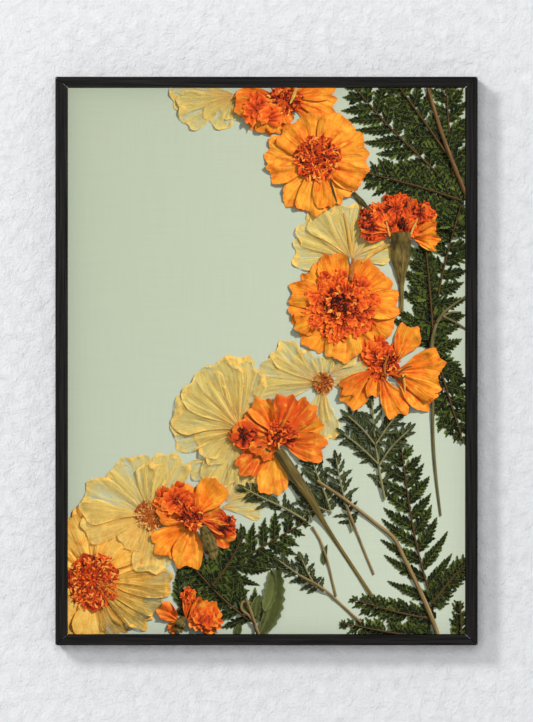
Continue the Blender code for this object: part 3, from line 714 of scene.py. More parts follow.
def add_pinna(batch, start, turn, side, reach, breadth=1.0):
    """One pinna: a thin rib, bent a little towards the frond's tip, with pinnules along both sides."""
    count = max(int(reach / (PINNULE_GAP * min(1.0, reach / (22 * MM) + 0.45))), 4)
    share = np.linspace(0, 1, count)
    bend = turn - side * random.uniform(0.10, 0.38) * share**1.3
    step = reach / (count - 1)
    x = start[0] + np.concatenate([[0], np.cumsum(np.cos(bend[:-1]) * step)])
    z = start[1] + np.concatenate([[0], np.cumsum(np.sin(bend[:-1]) * step)])
    path = np.stack([x, z], axis=1)
    floor = np.maximum.accumulate(bed_height(x, z)[::-1])[::-1]
    floor = np.convolve(np.pad(floor, 2, mode="edge"), np.ones(5) / 5, mode="valid")
    height = np.minimum(np.maximum(floor, bed_height(x, z)) + 0.25 * MM, FERN_LIMIT)
    shape = np.minimum(1.0, 0.62 + share * 2.2) * (1 - 0.80 * share**1.7)
    size = breadth * min(1.0, reach / (16 * MM) + 0.42)
    half = np.array((-1.0, 0.0, 1.0))[None, :] * PINNULE_LENGTH * size * shape[:, None] * BLADE_SHARE
    blade_x, blade_z = set_out((x[:, None], z[:, None]), bend[:, None], 0.0, half)
    add_sheet(batch, blade_x, blade_z, np.broadcast_to(height[:, None], blade_x.shape), tone=0.18)
    for row in (-1, 1):
        wobble = random.uniform(-0.13, 0.13, count)
        length = PINNULE_LENGTH * size * shape * random.uniform(0.84, 1.12, count)
        width = PINNULE_WIDTH * (0.5 + 0.5 * shape) * random.uniform(0.9, 1.1, count) * min(1.0, size + 0.1)
        tilt = random.uniform(-0.03, 0.05, count)
        tone = np.clip(random.normal(0.46, 0.24, count) + 0.10 * row * side, 0, 1)
        turns = bend + row * (0.86 - 0.25 * share + wobble)
        add_pinnules(batch, path, turns, length, width, height, tilt, tone)
    tip = (np.array([2.6 * MM]), np.array([1.3 * MM]), height[-1:], np.zeros(1), np.array([0.5]))
    add_pinnules(batch, path[-1:], bend[-1:], *tip)
    width = np.interp(share, (0, 1), (0.50 * MM, 0.18 * MM))
    across = np.array((-0.5, 0.0, 0.5))[None, :] * width[:, None]
    lift = np.array((0.0, 0.15 * MM, 0.0))[None, :]
    rib_x, rib_z = set_out((x[:, None], z[:, None]), bend[:, None], 0.0, across)
    add_sheet(batch, rib_x, rib_z, height[:, None] + 0.05 * MM + lift, share[:, None], rib=0.45)


# Path in photo pixels from base to tip, gaps between pinnae at base and tip, then reaches at base and tip
# on the left and on the right, in millimetres
FRONDS = {
    "upper": (((467, 200), (416, 152), (389, 126), (352, 84)), (9.5, 7.6), (24, 15), (29, 17)),
    "top_corner": (((454, 176), (449, 128), (446, 78)), (8.4, 7.0), (13, 11), (15, 13)),
    "top_middle": (((446, 152), (424, 120), (392, 76)), (8.4, 7.4), (16, 13), (14, 12)),
    "behind_bud": (((462, 200), (420, 186), (366, 172)), (7.6, 6.4), (17, 12), (19, 12)),
    "beside_bud": (((462, 232), (442, 216), (418, 200)), (6.6, 5.6), (11, 8), (15, 9)),
    "right": (((430, 352), (434, 318), (445, 262), (461, 205)), (9.0, 7.6), (24, 20), (18, 8)),
    "right_edge": (((436, 352), (448, 394), (463, 440)), (8.6, 7.0), (17, 10), (16, 12)),
    "lower_right": (((434, 606), (423, 572), (411, 520), (400, 436)), (11.0, 7.4), (27, 10), (25, 11)),
    "bottom": (((434, 620), (400, 614), (354, 600)), (7.0, 5.8), (10, 6), (11, 6)),
    "bottom_edge": (((430, 638), (392, 634), (344, 624)), (6.8, 5.8), (8, 6), (8, 6)),
    "bottom_right": (((432, 604), (448, 584), (468, 562)), (4.6, 4.2), (8, 6), (8, 6)),
    "bottom_corner": (((460, 650), (462, 626), (460, 604)), (5.0, 4.4), (7, 5), (6, 4)),
    "lower_middle": (((176, 612), (236, 562), (306, 522)), (8.6, 7.2), (21, 11), (23, 11)),
    "low_left": (((250, 622), (222, 600), (186, 560)), (7.6, 6.4), (15, 11), (19, 11)),
    "low_tip": (((212, 586), (232, 560), (244, 532)), (7.0, 6.0), (13, 8), (12, 7)),
}
# How much farther out the pinnae of some fronds lean, in radians
WIDE_FRONDS = {"right": 0.30, "lower_middle": 0.10, "low_left": 0.15}
RACHIS_WIDTHS = (1.1, 0.9, 0.5)
FERN_THICKNESS = 0.1 * MM


def dried_material(name, group, values, roughness, specular, bump, depth, alpha=False):
    """A dried plant's material: a node group gives its colours from the marks on the mesh and the place."""
    dried, tree, shader = new_material(name, {"Roughness": roughness, "Specular IOR Level": specular})
    look = add_node(tree, "Group", values, node_tree=group)
    for socket in look.inputs:
        if socket.name == "Position":
            tree.links.new(object_place(tree), socket)
        elif socket.name.lower() in MARKS:
            mark = add_node(tree, "Attribute", attribute_name=socket.name.lower())
            tree.links.new(mark.outputs["Fac"], socket)
    normals = bumps(tree, look.outputs["Height"], bump, depth)
    feed(tree, shader, {"Base Color": look.outputs["Color"], "Normal": normals})
    if alpha:
        feed(tree, shader, {"Alpha": look.outputs["Alpha"]})
    return dried


leaf_group, given, result = new_group(
    "leaf_colours",
    {
        "Vector": ("Position",),
        "Float": ("Across", "Tone", "Rib"),
        "Color": ("Dark", "Light", "Rim", "Midrib"),
    },
    {"Color": ("Color",), "Float": ("Height",)},
)
mottle = noise(leaf_group, given["Position"], 380, 4)
shade = maths(leaf_group, "SUBTRACT", maths(leaf_group, "MULTIPLY_ADD", mottle, 0.75, given["Tone"]), 0.54)
# The paler colour towards each leaflet's edges is a painted highlight
edge = map_range(leaf_group, maths(leaf_group, "ABSOLUTE", given["Across"]), 0.62, 1.0, 0.0, 0.75)
rims_with_painted_highlight = mix(leaf_group, edge, mix(leaf_group, shade, given["Dark"], given["Light"]), given["Rim"])
ribbed = mix(leaf_group, given["Rib"], rims_with_painted_highlight, given["Midrib"])
feed(leaf_group, result, {"Color": ribbed, "Height": mottle})


def leaf_material(name, dark, light, rim, midrib):
    """A dried leaf: mottled from leaflet to leaflet, with a painted highlight along its edges, and brown
    along its ribs.
    """
    colours = {"Dark": dark, "Light": light, "Rim": rim, "Midrib": midrib}
    return dried_material(name, leaf_group, colours, 0.8, 0.10, 0.4, 0.15 * MM)


fern = leaf_material(
    "pressed_fern",
    (0.005, 0.010, 0.002),
    (0.130, 0.170, 0.022),
    (0.290, 0.325, 0.095),
    (0.085, 0.046, 0.014),
)
# Fuller fronds: how much broader their pinnae are
FULL_FRONDS = {"right": 1.18, "right_edge": 1.12}
# Tips that fill in between the calyx of the bud and the stem at its right
FERN_TIPS = {
    "by_calyx": (((434, 344), (431, 300), (426, 246)), (7.6, 6.4), (15, 10), (8, 6)),
}


def lay_frond(name, path_px, gaps, left, right):
    """A fern frond along a path, its pinnae set this far apart and reaching this far to each side."""
    frond = new_batch()
    path = np.array([card_point(*point) for point in path_px])
    length = np.linalg.norm(np.diff(path, axis=0), axis=1).sum()
    line = smooth_path(path, max(int(length / (0.8 * MM)), 12))
    turns = headings(line)
    places = [0.03]
    while places[-1] < 0.985:
        places.append(places[-1] + np.interp(places[-1], (0, 1), gaps) * MM / length)
    for share in places:
        for side, (first, last) in ((1, left), (-1, right)):
            shift = min(share + side * 0.25 * gaps[1] * MM / length, 1)
            k = int(shift * (len(line) - 1))
            reach = (first + (last - first) * share) * MM * random.uniform(0.88, 1.08)
            reach *= min(1.0, (1.07 - share) * 3.2)
            breadth = random.uniform(0.85, 1.1) * (0.8 + 0.2 * min(gaps[0] / 7.0, 1.2))
            breadth *= FULL_FRONDS.get(name, 1.0)
            lean_out = side * (random.uniform(0.80, 1.05) + WIDE_FRONDS.get(name, 0.0))
            add_pinna(frond, line[k], turns[k] + lean_out, side, reach, breadth)
    add_rib(frond, line, RACHIS_WIDTHS, tone=0.5, rib=1.0)
    finish_specimen("fern_frond_" + name, frond, FERN_THICKNESS, fern)


for name, values in FRONDS.items():
    lay_frond(name, *values)
# The tips have draws of their own, so that what follows keeps its shapes
draws = random.bit_generator.state
for name, values in FERN_TIPS.items():
    lay_frond(name, *values)
random.bit_generator.state = draws


# Pale blossoms. Thin yellow petals, pressed until they are nearly see-through, with fine veins that
# fan out from the base and edges that folded over and dried darker. Two show their dry stamens.


def add_petal(batch, centre, angle, reach, breadth, ruffle, tone, start=0.07, waist=0.62, rounding=0.5):
    """One broad petal with a rounded, scalloped end and soft creases that run out from its base.

    The start is the share of its reach that its base lies out from the centre, and the waist is the share
    of its breadth that it has there."""
    u = np.linspace(0, 1, 30)[:, None]
    v = np.sin(np.linspace(-math.pi / 2, math.pi / 2, 35))[None, :]
    turn = random.uniform(0, 2 * math.pi, 8)
    spread = math.atan2(breadth / 2, reach * 0.72)
    # Its outline: a rounded end with shallow scallops, and a base that narrows to the waist
    end = 1 - rounding + rounding * np.sqrt(1 - 0.999 * np.abs(v) ** 3)
    end = end + 0.035 * np.cos(2.5 * math.pi * v + turn[0]) + 0.016 * ruffle * np.sin(7.4 * v + turn[1])
    end = end + 0.009 * ruffle * np.sin(15 * v + turn[2]) + 0.005 * ruffle * np.sin(34 * v + turn[3])
    out = reach * (start + (1 - start) * u * end)
    open_out = waist + (1 - waist) * np.minimum(1, 1.25 * u) ** 0.8
    sway = 0.06 * np.sin(3 * u + turn[3]) * u
    way = math.radians(angle) + spread * v * open_out + sway
    x = centre[0] + out * MM * np.cos(way)
    z = centre[1] + out * MM * np.sin(way)
    # Its relief in millimetres: broad pleats, fine ones, a turned-up rim and a cockled blade
    bent = v + 0.16 * np.sin(3.1 * u + turn[5]) + 0.05 * np.sin(9 * u + turn[2])
    pleats = 0.17 * np.sin(8 * bent + turn[4]) * np.sin(math.pi * np.minimum(u * 1.1, 1)) ** 0.7
    fine = 0.06 * np.sin(23 * bent + turn[6]) * u
    rim = 0.38 * u**3.2 * np.sin(6.5 * v + turn[7]) + 0.12 * u**6 * np.sin(17 * v + turn[1])
    cockle = 0.14 * np.sin(5.5 * u + turn[0]) * np.sin(3.2 * v + turn[6]) * u
    relief = (pleats + fine + rim + cockle) * ruffle * MM
    height = np.minimum(settle(x, z, relief, 0.05 * MM), SHEET_LIMIT)
    add_sheet(batch, x, z, height, u, v, tone)


petal_group, given, result = new_group(
    "petal_colours",
    {
        "Vector": ("Position", "Veins"),
        "Float": ("Along", "Across", "Tone", "Thinnest", "Thickest"),
        "Color": ("Base", "Middle", "Tip", "Dark", "Light", "Rim", "Red"),
    },
    {"Color": ("Color",), "Float": ("Height", "Alpha")},
)


def petal_maths(operation, *values):
    return maths(petal_group, operation, *values)


apart = petal_maths("MULTIPLY", given["Tone"], 37.0)
vein_place = add_node(petal_group, "CombineXYZ", {"X": given["Across"], "Y": given["Along"], "Z": apart})
vein_stretch = add_node(petal_group, "VectorMath", operation="MULTIPLY")
feed(petal_group, vein_stretch, {0: vein_place.outputs["Vector"], 1: given["Veins"]})
vein = noise(petal_group, vein_stretch.outputs["Vector"], 1.0, 5, 0.62, 0.55)
blotch_and_painted_light = noise(petal_group, given["Position"], 210, 4)
farthest = petal_maths("MAXIMUM", petal_maths("ABSOLUTE", given["Across"]), given["Along"])
uneven = petal_maths("SUBTRACT", petal_maths("MULTIPLY_ADD", blotch_and_painted_light, 0.55, given["Along"]), 0.27)
far_edge = petal_maths("SUBTRACT", petal_maths("MULTIPLY_ADD", blotch_and_painted_light, 0.55, farthest), 0.27)
crease = petal_maths("ABSOLUTE", petal_maths("SUBTRACT", vein, 0.5))
colour = given["Base"]
# The crease lines darken the colour as painted shade in the creases; the blotches darken and lighten it,
# partly random tone and partly painted light and shade. Both also give the bump its height.
for value, low, high, strength, shade in (
    (uneven, 0.10, 0.42, 1.0, "Middle"),
    (uneven, 0.42, 0.92, 1.0, "Tip"),
    (given["Tone"], 0.45, 0.0, 0.9, "Red"),
    (given["Tone"], 0.60, 1.0, 0.7, "Light"),
    (vein, 0.46, 0.33, 0.75, "Dark"),
    (vein, 0.53, 0.70, 0.85, "Light"),
    (crease, 0.030, 0.0, 0.55, "Dark"),
    (blotch_and_painted_light, 0.46, 0.34, 0.55, "Dark"),
    (blotch_and_painted_light, 0.54, 0.68, 0.55, "Light"),
    (far_edge, 0.92, 1.03, 0.85, "Rim"),
):
    share = map_range(petal_group, value, low, high, 0.0, strength)
    colour = mix(petal_group, share, colour, given[shade])
body = map_range(petal_group, vein, 0.35, 0.65, given["Thinnest"], given["Thickest"])
folded_over = map_range(petal_group, far_edge, 0.90, 1.02, 0.0, 0.95)
feed(
    petal_group,
    result,
    {
        "Color": colour,
        "Height": petal_maths("MULTIPLY_ADD", crease, 2.2, blotch_and_painted_light),
        "Alpha": petal_maths("MAXIMUM", body, folded_over),
    },
)
FIRM_VEINS = (5.0, 1.2, 1.0)
SOFT_VEINS = (4.0, 1.3, 1.0)


def petal_material(name, colours, veins=FIRM_VEINS, see_through=None):
    """A dried petal: coloured from base to tip, streaked by the veins that fan out, and rimmed; painted
    shade darkens its creases and painted light and shade mark its blotches.
    """
    values = dict(colours, Veins=veins)
    if see_through:
        values["Thinnest"], values["Thickest"] = see_through
    return dried_material(name, petal_group, values, 0.6, 0.12, 0.6, 0.8 * MM, bool(see_through))


FLORET_ROWS = 4
FLORET_COLUMNS = 4
CREST_PACKING = 0.72
# The turn from each floret to the next, as in a sunflower, in radians
GOLDEN_ANGLE = 2.399963


def add_crest(batch, centre, radius, count, squash=1.0, size=1.0, darkness=0.0):
    """A dense dome of small crumpled florets, short and dark in the middle and longer at the rim."""
    u = np.linspace(0, 1, FLORET_ROWS)[:, None]
    v = np.linspace(-1, 1, FLORET_COLUMNS)[None, :]
    # A low cushion first, level with the middle height of what it lies on
    around = np.linspace(0, 2 * math.pi, 16)[None, :]
    out = np.linspace(0.2, 0.9, 5)[:, None] * radius
    ground = float(np.median(bed_height(*set_out(centre, around, out, 0.0))))
    out = np.linspace(0, 1.0, 9)[:, None]
    around = np.linspace(0, 2 * math.pi, 33)[None, :]
    rough = 1 + 0.06 * np.sin(7 * around) + 0.05 * np.sin(13 * around + 2)
    x = centre[0] + radius * out * rough * np.cos(around)
    z = centre[1] + radius * out * rough * np.sin(around) * squash
    dome = (0.35 * (1 - out**2) + 0.06 * np.sin(9 * around + 14 * out)) * size * MM
    height = np.minimum(ground + dome + 0.1 * MM, DOME_LIMIT)
    add_sheet(batch, x, z, height, out, 0.0, 0.25 + 0.1 * np.sin(5 * around + 9 * out))
    # Then the florets, in a spiral from the middle out
    for i in range(count):
        share = math.sqrt((i + 0.5) / count)
        turn = i * GOLDEN_ANGLE + random.uniform(-0.3, 0.3)
        out = radius * share * np.array((math.cos(turn), math.sin(turn) * squash))
        place = centre + out * random.uniform(0.82, 1.0)
        length = (1.3 + 1.5 * share) * size * random.uniform(0.7, 1.35) * MM
        width = (0.55 + 0.55 * share) * size * random.uniform(0.7, 1.3) * MM
        way = turn + random.normal(0, 1.1 - 0.6 * share)
        curl = random.uniform(-1.1, 1.1)
        bend = way + curl * u
        ahead = length * (u - 0.3)
        beside = width * v * (0.35 + 0.65 * np.sin(math.pi * np.clip(u * 0.85 + 0.12, 0, 1))) / 2
        x, z = set_out(place, bend, ahead, beside)
        cup = random.uniform(-0.16, 0.30) * v**2 + 0.06 * np.sin(6 * v + 9 * u + turn)
        lift = random.uniform(0.05, 0.42) * u**1.5
        relief = (cup + lift) * size * MM
        floor = float(np.median(bed_height(x, z, 0.1 * MM)))
        height = ground + (floor - ground) * CREST_PACKING + relief - relief.min() + 0.05 * MM
        height = np.minimum(np.maximum(height, 0.15 * MM), FLORET_LIMIT)
        tone = random.beta(1.3, 2.0) * (0.75 + 0.40 * share) - darkness * (1 - share) + 0.10 * u
        tone = np.clip(tone, 0, 0.9)
        add_sheet(batch, x, z, height, u, v, tone, 0.0)


def add_ruffles(batch, centre, radii, count, size, tones):
    """Crumpled little fans packed into a patch, the inner ones on top, each with a wavy, lighter end,
    painted shade at its base and painted light and shade along its waves.
    """
    u = np.linspace(0, 1, 7)[:, None]
    v = np.linspace(-1, 1, 11)[None, :]
    for i in reversed(range(count)):
        share = math.sqrt((i + 0.5) / count)
        turn = i * GOLDEN_ANGLE + random.uniform(-0.3, 0.3)
        place = centre + np.array(radii) * MM * share * np.array((math.cos(turn), math.sin(turn)))
        way = turn + random.normal(0, 1.3 - 0.7 * share)
        length = random.uniform(2.6, 4.6) * size * MM
        breadth = random.uniform(2.6, 5.2) * size * MM
        phase = random.uniform(0, 2 * math.pi, 4)
        end = 1 - 0.30 * v**2 + 0.12 * np.sin(6 * v + phase[0]) + 0.05 * np.sin(17 * v + phase[1])
        bend = way + random.uniform(-0.7, 0.7) * u
        ahead = length * (u * end - 0.35)
        beside = breadth * v * (0.30 + 0.70 * u**0.7) / 2
        x, z = set_out(place, bend, ahead, beside)
        waves = 0.20 * np.sin(6.5 * v + phase[2] + 2 * u) * u + 0.07 * np.sin(15 * v + phase[3]) * u
        relief = (waves + random.uniform(0.0, 0.35) * u**2) * size * MM
        floor = float(np.quantile(bed_height(x, z, 0.1 * MM), 0.35))
        height = floor + (relief - relief.min()) * np.clip((PILE_LIMIT - floor) / (1.6 * MM), 0.15, 1.0)
        height = np.minimum(height + 0.05 * MM, FLORET_LIMIT)
        # Painted shade darkens each fan's base, under the next fan, and painted light and shade follow its
        # waves, lighter on the crests
        shade = tones[0] + (tones[1] - tones[0]) * random.uniform(0, 1) + 0.30 * u**3 - 0.12 * (1 - u)
        shade = shade + 0.10 * np.sin(6.5 * v + phase[2] + 2 * u)
        add_sheet(batch, x, z, height, u, v, np.clip(shade, 0, 1))


floret_group, given, result = new_group(
    "floret_shade", {"Vector": ("Position",), "Float": ("Tone",)}, {"Float": ("Shade",)}
)
specks = noise(floret_group, given["Position"], 1100, 3)
speckled = maths(floret_group, "MULTIPLY_ADD", specks, 0.5, given["Tone"])
feed(floret_group, result, {"Shade": maths(floret_group, "SUBTRACT", speckled, 0.25)})


def crest_material(name, stops):
    """Crumpled florets, each its own shade along a scale of colours, with lighter tips."""
    crest, tree, shader = new_material(name, {"Roughness": 0.7, "Specular IOR Level": 0.12})
    tone = add_node(tree, "Attribute", attribute_name="tone").outputs["Fac"]
    floret = add_node(tree, "Group", node_tree=floret_group)
    feed(tree, floret, {"Position": object_place(tree), "Tone": tone})
    feed(tree, shader, {"Base Color": colour_ramp(tree, floret.outputs["Shade"], stops)})
    return crest


# Centre in photo pixels, petals as (angle, reach, breadth) in degrees and millimetres, with the pixel that
# a loose one starts from, then the radius of the stamens in millimetres and how dark their middle is
PALE_BLOSSOMS = {
    "pale_blossom_top": ((236, 93), ((255, 15, 12), (178, 37, 20), (230, 22, 18), (203, 34, 20)), None),
    "pale_blossom_upper": (
        (352, 259),
        ((18, 23, 18), (167, 33, 19), (62, 24, 20), (145, 35, 20), (97, 31, 20), (122, 34, 20)),
        None,
    ),
    "pale_blossom_middle": (
        (323, 383),
        (
            (262, 22, 12), (275, 32, 11), (90, 15, 12), (128, 22, 10),
            (172, 36, 17), (189, 38, 17), (146, 33, 15),
        ),
        (6.0, 0.45),
    ),
    "pale_blossom_large": (
        (240, 429),
        (
            (272, 32, 16), (247, 34, 20), (222, 26, 16), (203, 26, 18), (74, 34, 16), (181, 38, 24),
            (91, 41, 20), (158, 39, 25), (111, 40, 23), (134, 39, 25),
        ),
        None,
    ),
    "pale_loose": (
        (228, 480),
        (
            (22, 23, 17, (328, 376)), (48, 17, 13, (330, 373)), (248, 20, 18, (228, 460)),
            (226, 17, 14, (214, 456)), (8, 24, 16, (220, 508)), (34, 24, 14, (224, 502)),
            (352, 18, 13, (328, 381)),
        ),
        None,
    ),
    "pale_blossom_low": (
        (149, 516),
        (
            (275, 32, 20), (235, 22, 14), (63, 37, 19), (185, 38, 22),
            (112, 35, 25), (160, 39, 25), (88, 30, 16),
        ),
        (8.5, 0.0),
    ),
}
pale_petal = petal_material(
    "pale_petal",
    {
        "Base": (0.96, 0.42, 0.05),
        "Middle": (0.92, 0.66, 0.18),
        "Tip": (0.92, 0.75, 0.25),
        "Dark": (0.86, 0.60, 0.14),
        "Light": (1.0, 0.73, 0.19),
        "Rim": (1.0, 0.60, 0.14),
        "Red": (0.86, 0.68, 0.22),
    },
    veins=SOFT_VEINS,
    see_through=(0.03, 0.62),
)
fuzzy_stamens = crest_material(
    "fuzzy_stamens",
    (
        (0.00, (0.12, 0.02, 0.004)),
        (0.30, (0.52, 0.11, 0.015)),
        (0.65, (0.82, 0.34, 0.06)),
        (1.00, (0.90, 0.62, 0.24)),
    ),
)


THIN_PETAL = 0.08 * MM
PALE_BREADTH = 1.12
STAMEN_COUNT = 150


def lay_pale_blossom(name, tones=(0.1, 0.9)):
    centre_px, petals, stamens = PALE_BLOSSOMS[name]
    centre = card_point(*centre_px)
    blossom = new_batch()
    for angle, reach, breadth, *root in petals:
        tone = random.uniform(*tones)
        start = card_point(*root[0]) if root else centre
        add_petal(blossom, start, angle, reach, breadth * PALE_BREADTH, 0.75, tone, 0.05, 0.75, 0.27)
    finish_specimen(name + "_petals", blossom, THIN_PETAL, pale_petal)
    if stamens:
        tuft = new_batch()
        radius, darkness = stamens
        add_crest(tuft, centre, radius * MM, STAMEN_COUNT, size=0.62, darkness=darkness)
        finish_specimen(name + "_stamens", tuft, THIN_PETAL, fuzzy_stamens)


for name in ("loose", "blossom_top", "blossom_upper", "blossom_middle", "blossom_large"):
    lay_pale_blossom("pale_" + name)


# Leaves. Dark toothed leaflets of the marigold on thin green stalks, one paler leaf of four folded
# blades, and two small loose leaflets. All are pressed flat.


def add_leaf(batch, base, turn, length, width, teeth, depth, fold=0.3, bend=0.0, lean=1.0):
    """A toothed leaf blade with a pale midrib. Its right half is wider than its left by the lean."""
    rows = teeth * 3 + 1
    u = np.linspace(0, 1, rows)[:, None]
    v = np.linspace(-1, 1, 9)[None, :]
    saw = (u * teeth + 0.15) % 1.0
    outline = np.sin(math.pi * np.clip(u, 0, 1) ** 0.78) ** 0.8 * (1 - depth * saw * np.abs(v) ** 2) + 0.03
    way = turn + bend * u
    ahead = length * (u - 0.10 * depth * np.abs(v) * (1 - u) + 0.05 * (1 - saw) * np.abs(v) * (u < 0.95))
    beside = width / 2 * np.where(v > 0, v / lean, v * lean) * outline
    x, z = set_out(base, way, ahead, beside)
    phase = random.uniform(0, 6)
    waves = 0.05 * np.sin(5 * u + 3 * v + phase) + 0.03 * np.sin(17 * u + phase)
    relief = (fold * 0.25 * np.abs(v) + waves) * MM
    height = np.minimum(settle(x, z, relief, 0.1 * MM), SHEET_LIMIT)
    tone = random.uniform(0.2, 0.7)
    stripe = 0.45 * np.exp(-((v / 0.10) ** 2)) * (1 - 0.6 * u)
    add_sheet(batch, x, z, height, u, v, tone, stripe)


LEAF_THICKNESS = 0.12 * MM
# Path in photo pixels, stalk widths, pairs of leaflets, then reaches at base, middle and tip, and breadth,
# in millimetres
LEAVES = {
    "middle": (((385, 500), (379, 470), (375, 440), (372, 402)), (1.3, 1.1, 0.7), 9, (8, 11, 9), 3.2),
    "middle_left": (((378, 464), (362, 448), (344, 434)), (0.9, 0.6), 8, (7, 9, 7), 3.0),
    "middle_right": (((379, 466), (390, 448), (409, 430)), (0.9, 0.6), 8, (7, 9, 7), 3.0),
    "high_left": (((376, 446), (364, 430), (348, 416)), (0.8, 0.5), 8, (7, 9, 7), 3.0),
    "high_right": (((376, 444), (388, 426), (402, 408)), (0.8, 0.5), 8, (7, 9, 7), 3.0),
    "left": (((306, 521), (284, 508), (262, 498), (243, 488)), (1.2, 0.9, 0.6), 10, (7, 9, 6), 3.2),
    "upper": (((331, 514), (326, 496), (318, 478), (311, 456)), (1.1, 0.8, 0.5), 10, (8, 10, 8), 3.3),
    "tucked": (((352, 532), (347, 508), (340, 482), (336, 458)), (1.0, 0.6), 10, (7, 10, 7), 3.3),
    "behind": (((312, 522), (306, 502), (296, 482), (290, 468)), (1.0, 0.6), 8, (7, 9, 7), 3.0),
    "fork": (((330, 512), (318, 508), (306, 494)), (0.8, 0.5), 6, (7, 9, 6), 3.2),
    "lower": (((324, 592), (308, 582), (294, 572), (279, 561)), (1.1, 0.8, 0.5), 8, (7, 9, 6), 3.2),
    "lower_fork": (((316, 588), (308, 574), (302, 560)), (0.8, 0.5), 4, (6, 8, 6), 3.8),
}
dark_leaf = leaf_material(
    "pressed_leaf",
    (0.005, 0.010, 0.003),
    (0.080, 0.100, 0.026),
    (0.150, 0.170, 0.068),
    (0.270, 0.240, 0.100),
)
for name, (path_px, widths, pairs, reaches, breadth) in LEAVES.items():
    sprig = new_batch()
    line = line_through(path_px, 60)
    turns = headings(line)
    for i in range(pairs):
        for side in (1, -1):
            share = (i + 0.5 + 0.25 * side) / pairs
            k = int((0.05 + 0.92 * share) * 59)
            reach = np.interp(share, (0, 0.5, 1), reaches) * MM * random.uniform(0.85, 1.15)
            turn = turns[k] + side * math.radians(random.uniform(38, 70) - 14 * share)
            wide = breadth * MM * random.uniform(0.85, 1.15)
            bend = random.uniform(-0.5, 0.3) * side
            add_leaf(sprig, line[k], turn, reach, wide, teeth=4, depth=0.8, bend=bend)
    add_leaf(sprig, line[-4], turns[-1], reaches[2] * MM, breadth * MM, teeth=5, depth=0.6)
    add_rib(sprig, line, widths, rib=0.8)
    finish_specimen("marigold_leaf_" + name, sprig, LEAF_THICKNESS, dark_leaf)


pale_leaf_green = leaf_material(
    "pale_leaf",
    (0.040, 0.050, 0.010),
    (0.165, 0.185, 0.045),
    (0.190, 0.205, 0.080),
    (0.230, 0.220, 0.085),
)
# Base in photo pixels, heading in degrees, length and width in millimetres, teeth, how deep they are cut,
# fold, bend and lean
PALE_LEAVES = {
    "folded_leaf": (
        ((262, 622), 118, 17, 10, 4, 0.25, 2.0, 0.4, 1.0),
        ((256, 618), 98, 13, 7, 4, 0.20, 2.0, -0.3, 1.0),
        ((258, 637), 64, 42, 9.5, 9, 0.22, 4.0, 0.2, 1.7),
        ((264, 612), 52, 24, 8, 6, 0.40, 3.0, 0.5, 0.7),
    ),
    "small_loose_leaves": (
        ((324, 566), 98, 12, 3.6, 4, 0.1, 0.3, -0.3, 1.0),
        ((236, 637), 74, 8, 4.5, 4, 0.1, 0.3, 0.0, 1.0),
    ),
}
for name, blades in PALE_LEAVES.items():
    leaf = new_batch()
    for base_px, turn, length, width, *shape in blades:
        add_leaf(leaf, card_point(*base_px), math.radians(turn), length * MM, width * MM, *shape)
    finish_specimen(name, leaf, LEAF_THICKNESS, pale_leaf_green)


# Stems. Thin dry flower stems, tan to brown, ridged along their length, lying over the ferns.


stem_group, given, result = new_group(
    "stem_colours",
    {"Float": ("Along", "Across", "Tone"), "Color": ("Dark", "Light")},
    {"Color": ("Color",), "Float": ("Height",)},
)
place = add_node(stem_group, "CombineXYZ", {"X": given["Across"], "Y": given["Along"], "Z": given["Tone"]})
streaks = noise(stem_group, stretched(stem_group, place.outputs["Vector"], (3.2, 7.0, 23.0)), 1.0, 5)
browns = mix(stem_group, map_range(stem_group, streaks, 0.32, 0.68), given["Dark"], given["Light"])
feed(stem_group, result, {"Color": browns, "Height": streaks})


def stem_material(name, dark, light):
    """A dry stem: streaked and patchy browns."""
    return dried_material(name, stem_group, {"Dark": dark, "Light": light}, 0.66, 0.12, 0.5, 0.2 * MM)


STEM_THICKNESS = 0.3 * MM
brown_stem = stem_material("brown_stem", (0.070, 0.032, 0.010), (0.260, 0.135, 0.045))
tan_stem = stem_material("tan_stem", (0.120, 0.078, 0.030), (0.370, 0.245, 0.095))
olive_stem = stem_material("olive_stem", (0.055, 0.048, 0.014), (0.230, 0.185, 0.075))
# Paths in photo pixels, widths in millimetres and material
STEMS = {
    "brown_stem_top_corner": (((426, 80), (436, 114), (445, 142), (466, 194)), (1.5, 1.6, 1.8), brown_stem),
    "brown_stem_right": (
        ((433, 346), (433, 400), (433, 438), (436, 476), (441, 516)),
        (1.6, 1.4, 1.3, 0.8),
        olive_stem,
    ),
    "forked_twig": (((431, 352), (434, 328), (443, 312), (466, 296)), (1.8, 1.1, 0.6), olive_stem),
    "forked_twig_upper": (((437, 322), (448, 312), (462, 312)), (0.9, 0.6), olive_stem),
    "forked_twig_lower": (((443, 316), (456, 322), (468, 330)), (0.9, 0.6), olive_stem),
    "thin_stem_right": (((374, 575), (362, 546), (346, 505)), (0.8, 0.9), tan_stem),
    "thin_stem_left": (((336, 597), (324, 547), (312, 527)), (0.8, 0.9), tan_stem),
    "thin_stem_bottom": (((361, 623), (343, 607), (323, 588), (300, 576)), (1.0, 0.9), tan_stem),
    "looped_stem": (
        ((259, 640), (252, 618), (240, 610), (242, 601), (250, 604)),
        (1.1, 1.0, 0.8),
        tan_stem,
    ),
    "short_stem_bottom": (((259, 636), (252, 616), (246, 599)), (1.2, 0.9), tan_stem),
    "tan_stem": (
        (
            (439, 638), (430, 613), (416, 582), (404, 558), (395, 538),
            (380, 527), (361, 512), (343, 498), (317, 481),
        ),
        (2.2, 1.9, 1.5, 1.2),
        tan_stem,
    ),
}
for name, (path_px, widths, material) in STEMS.items():
    stem = new_batch()
    line = line_through(path_px, 60)
    add_rib(stem, line, widths, tone=random.uniform(0, 1), flatness=0.45)
    finish_specimen(name, stem, STEM_THICKNESS, material)


# Marigolds. Flat orange heads: broad ruffled petals, streaked with red from the base, round a crest of
# crumpled florets. Side-pressed heads keep their brown ribbed calyx. They lie over ferns and leaves.


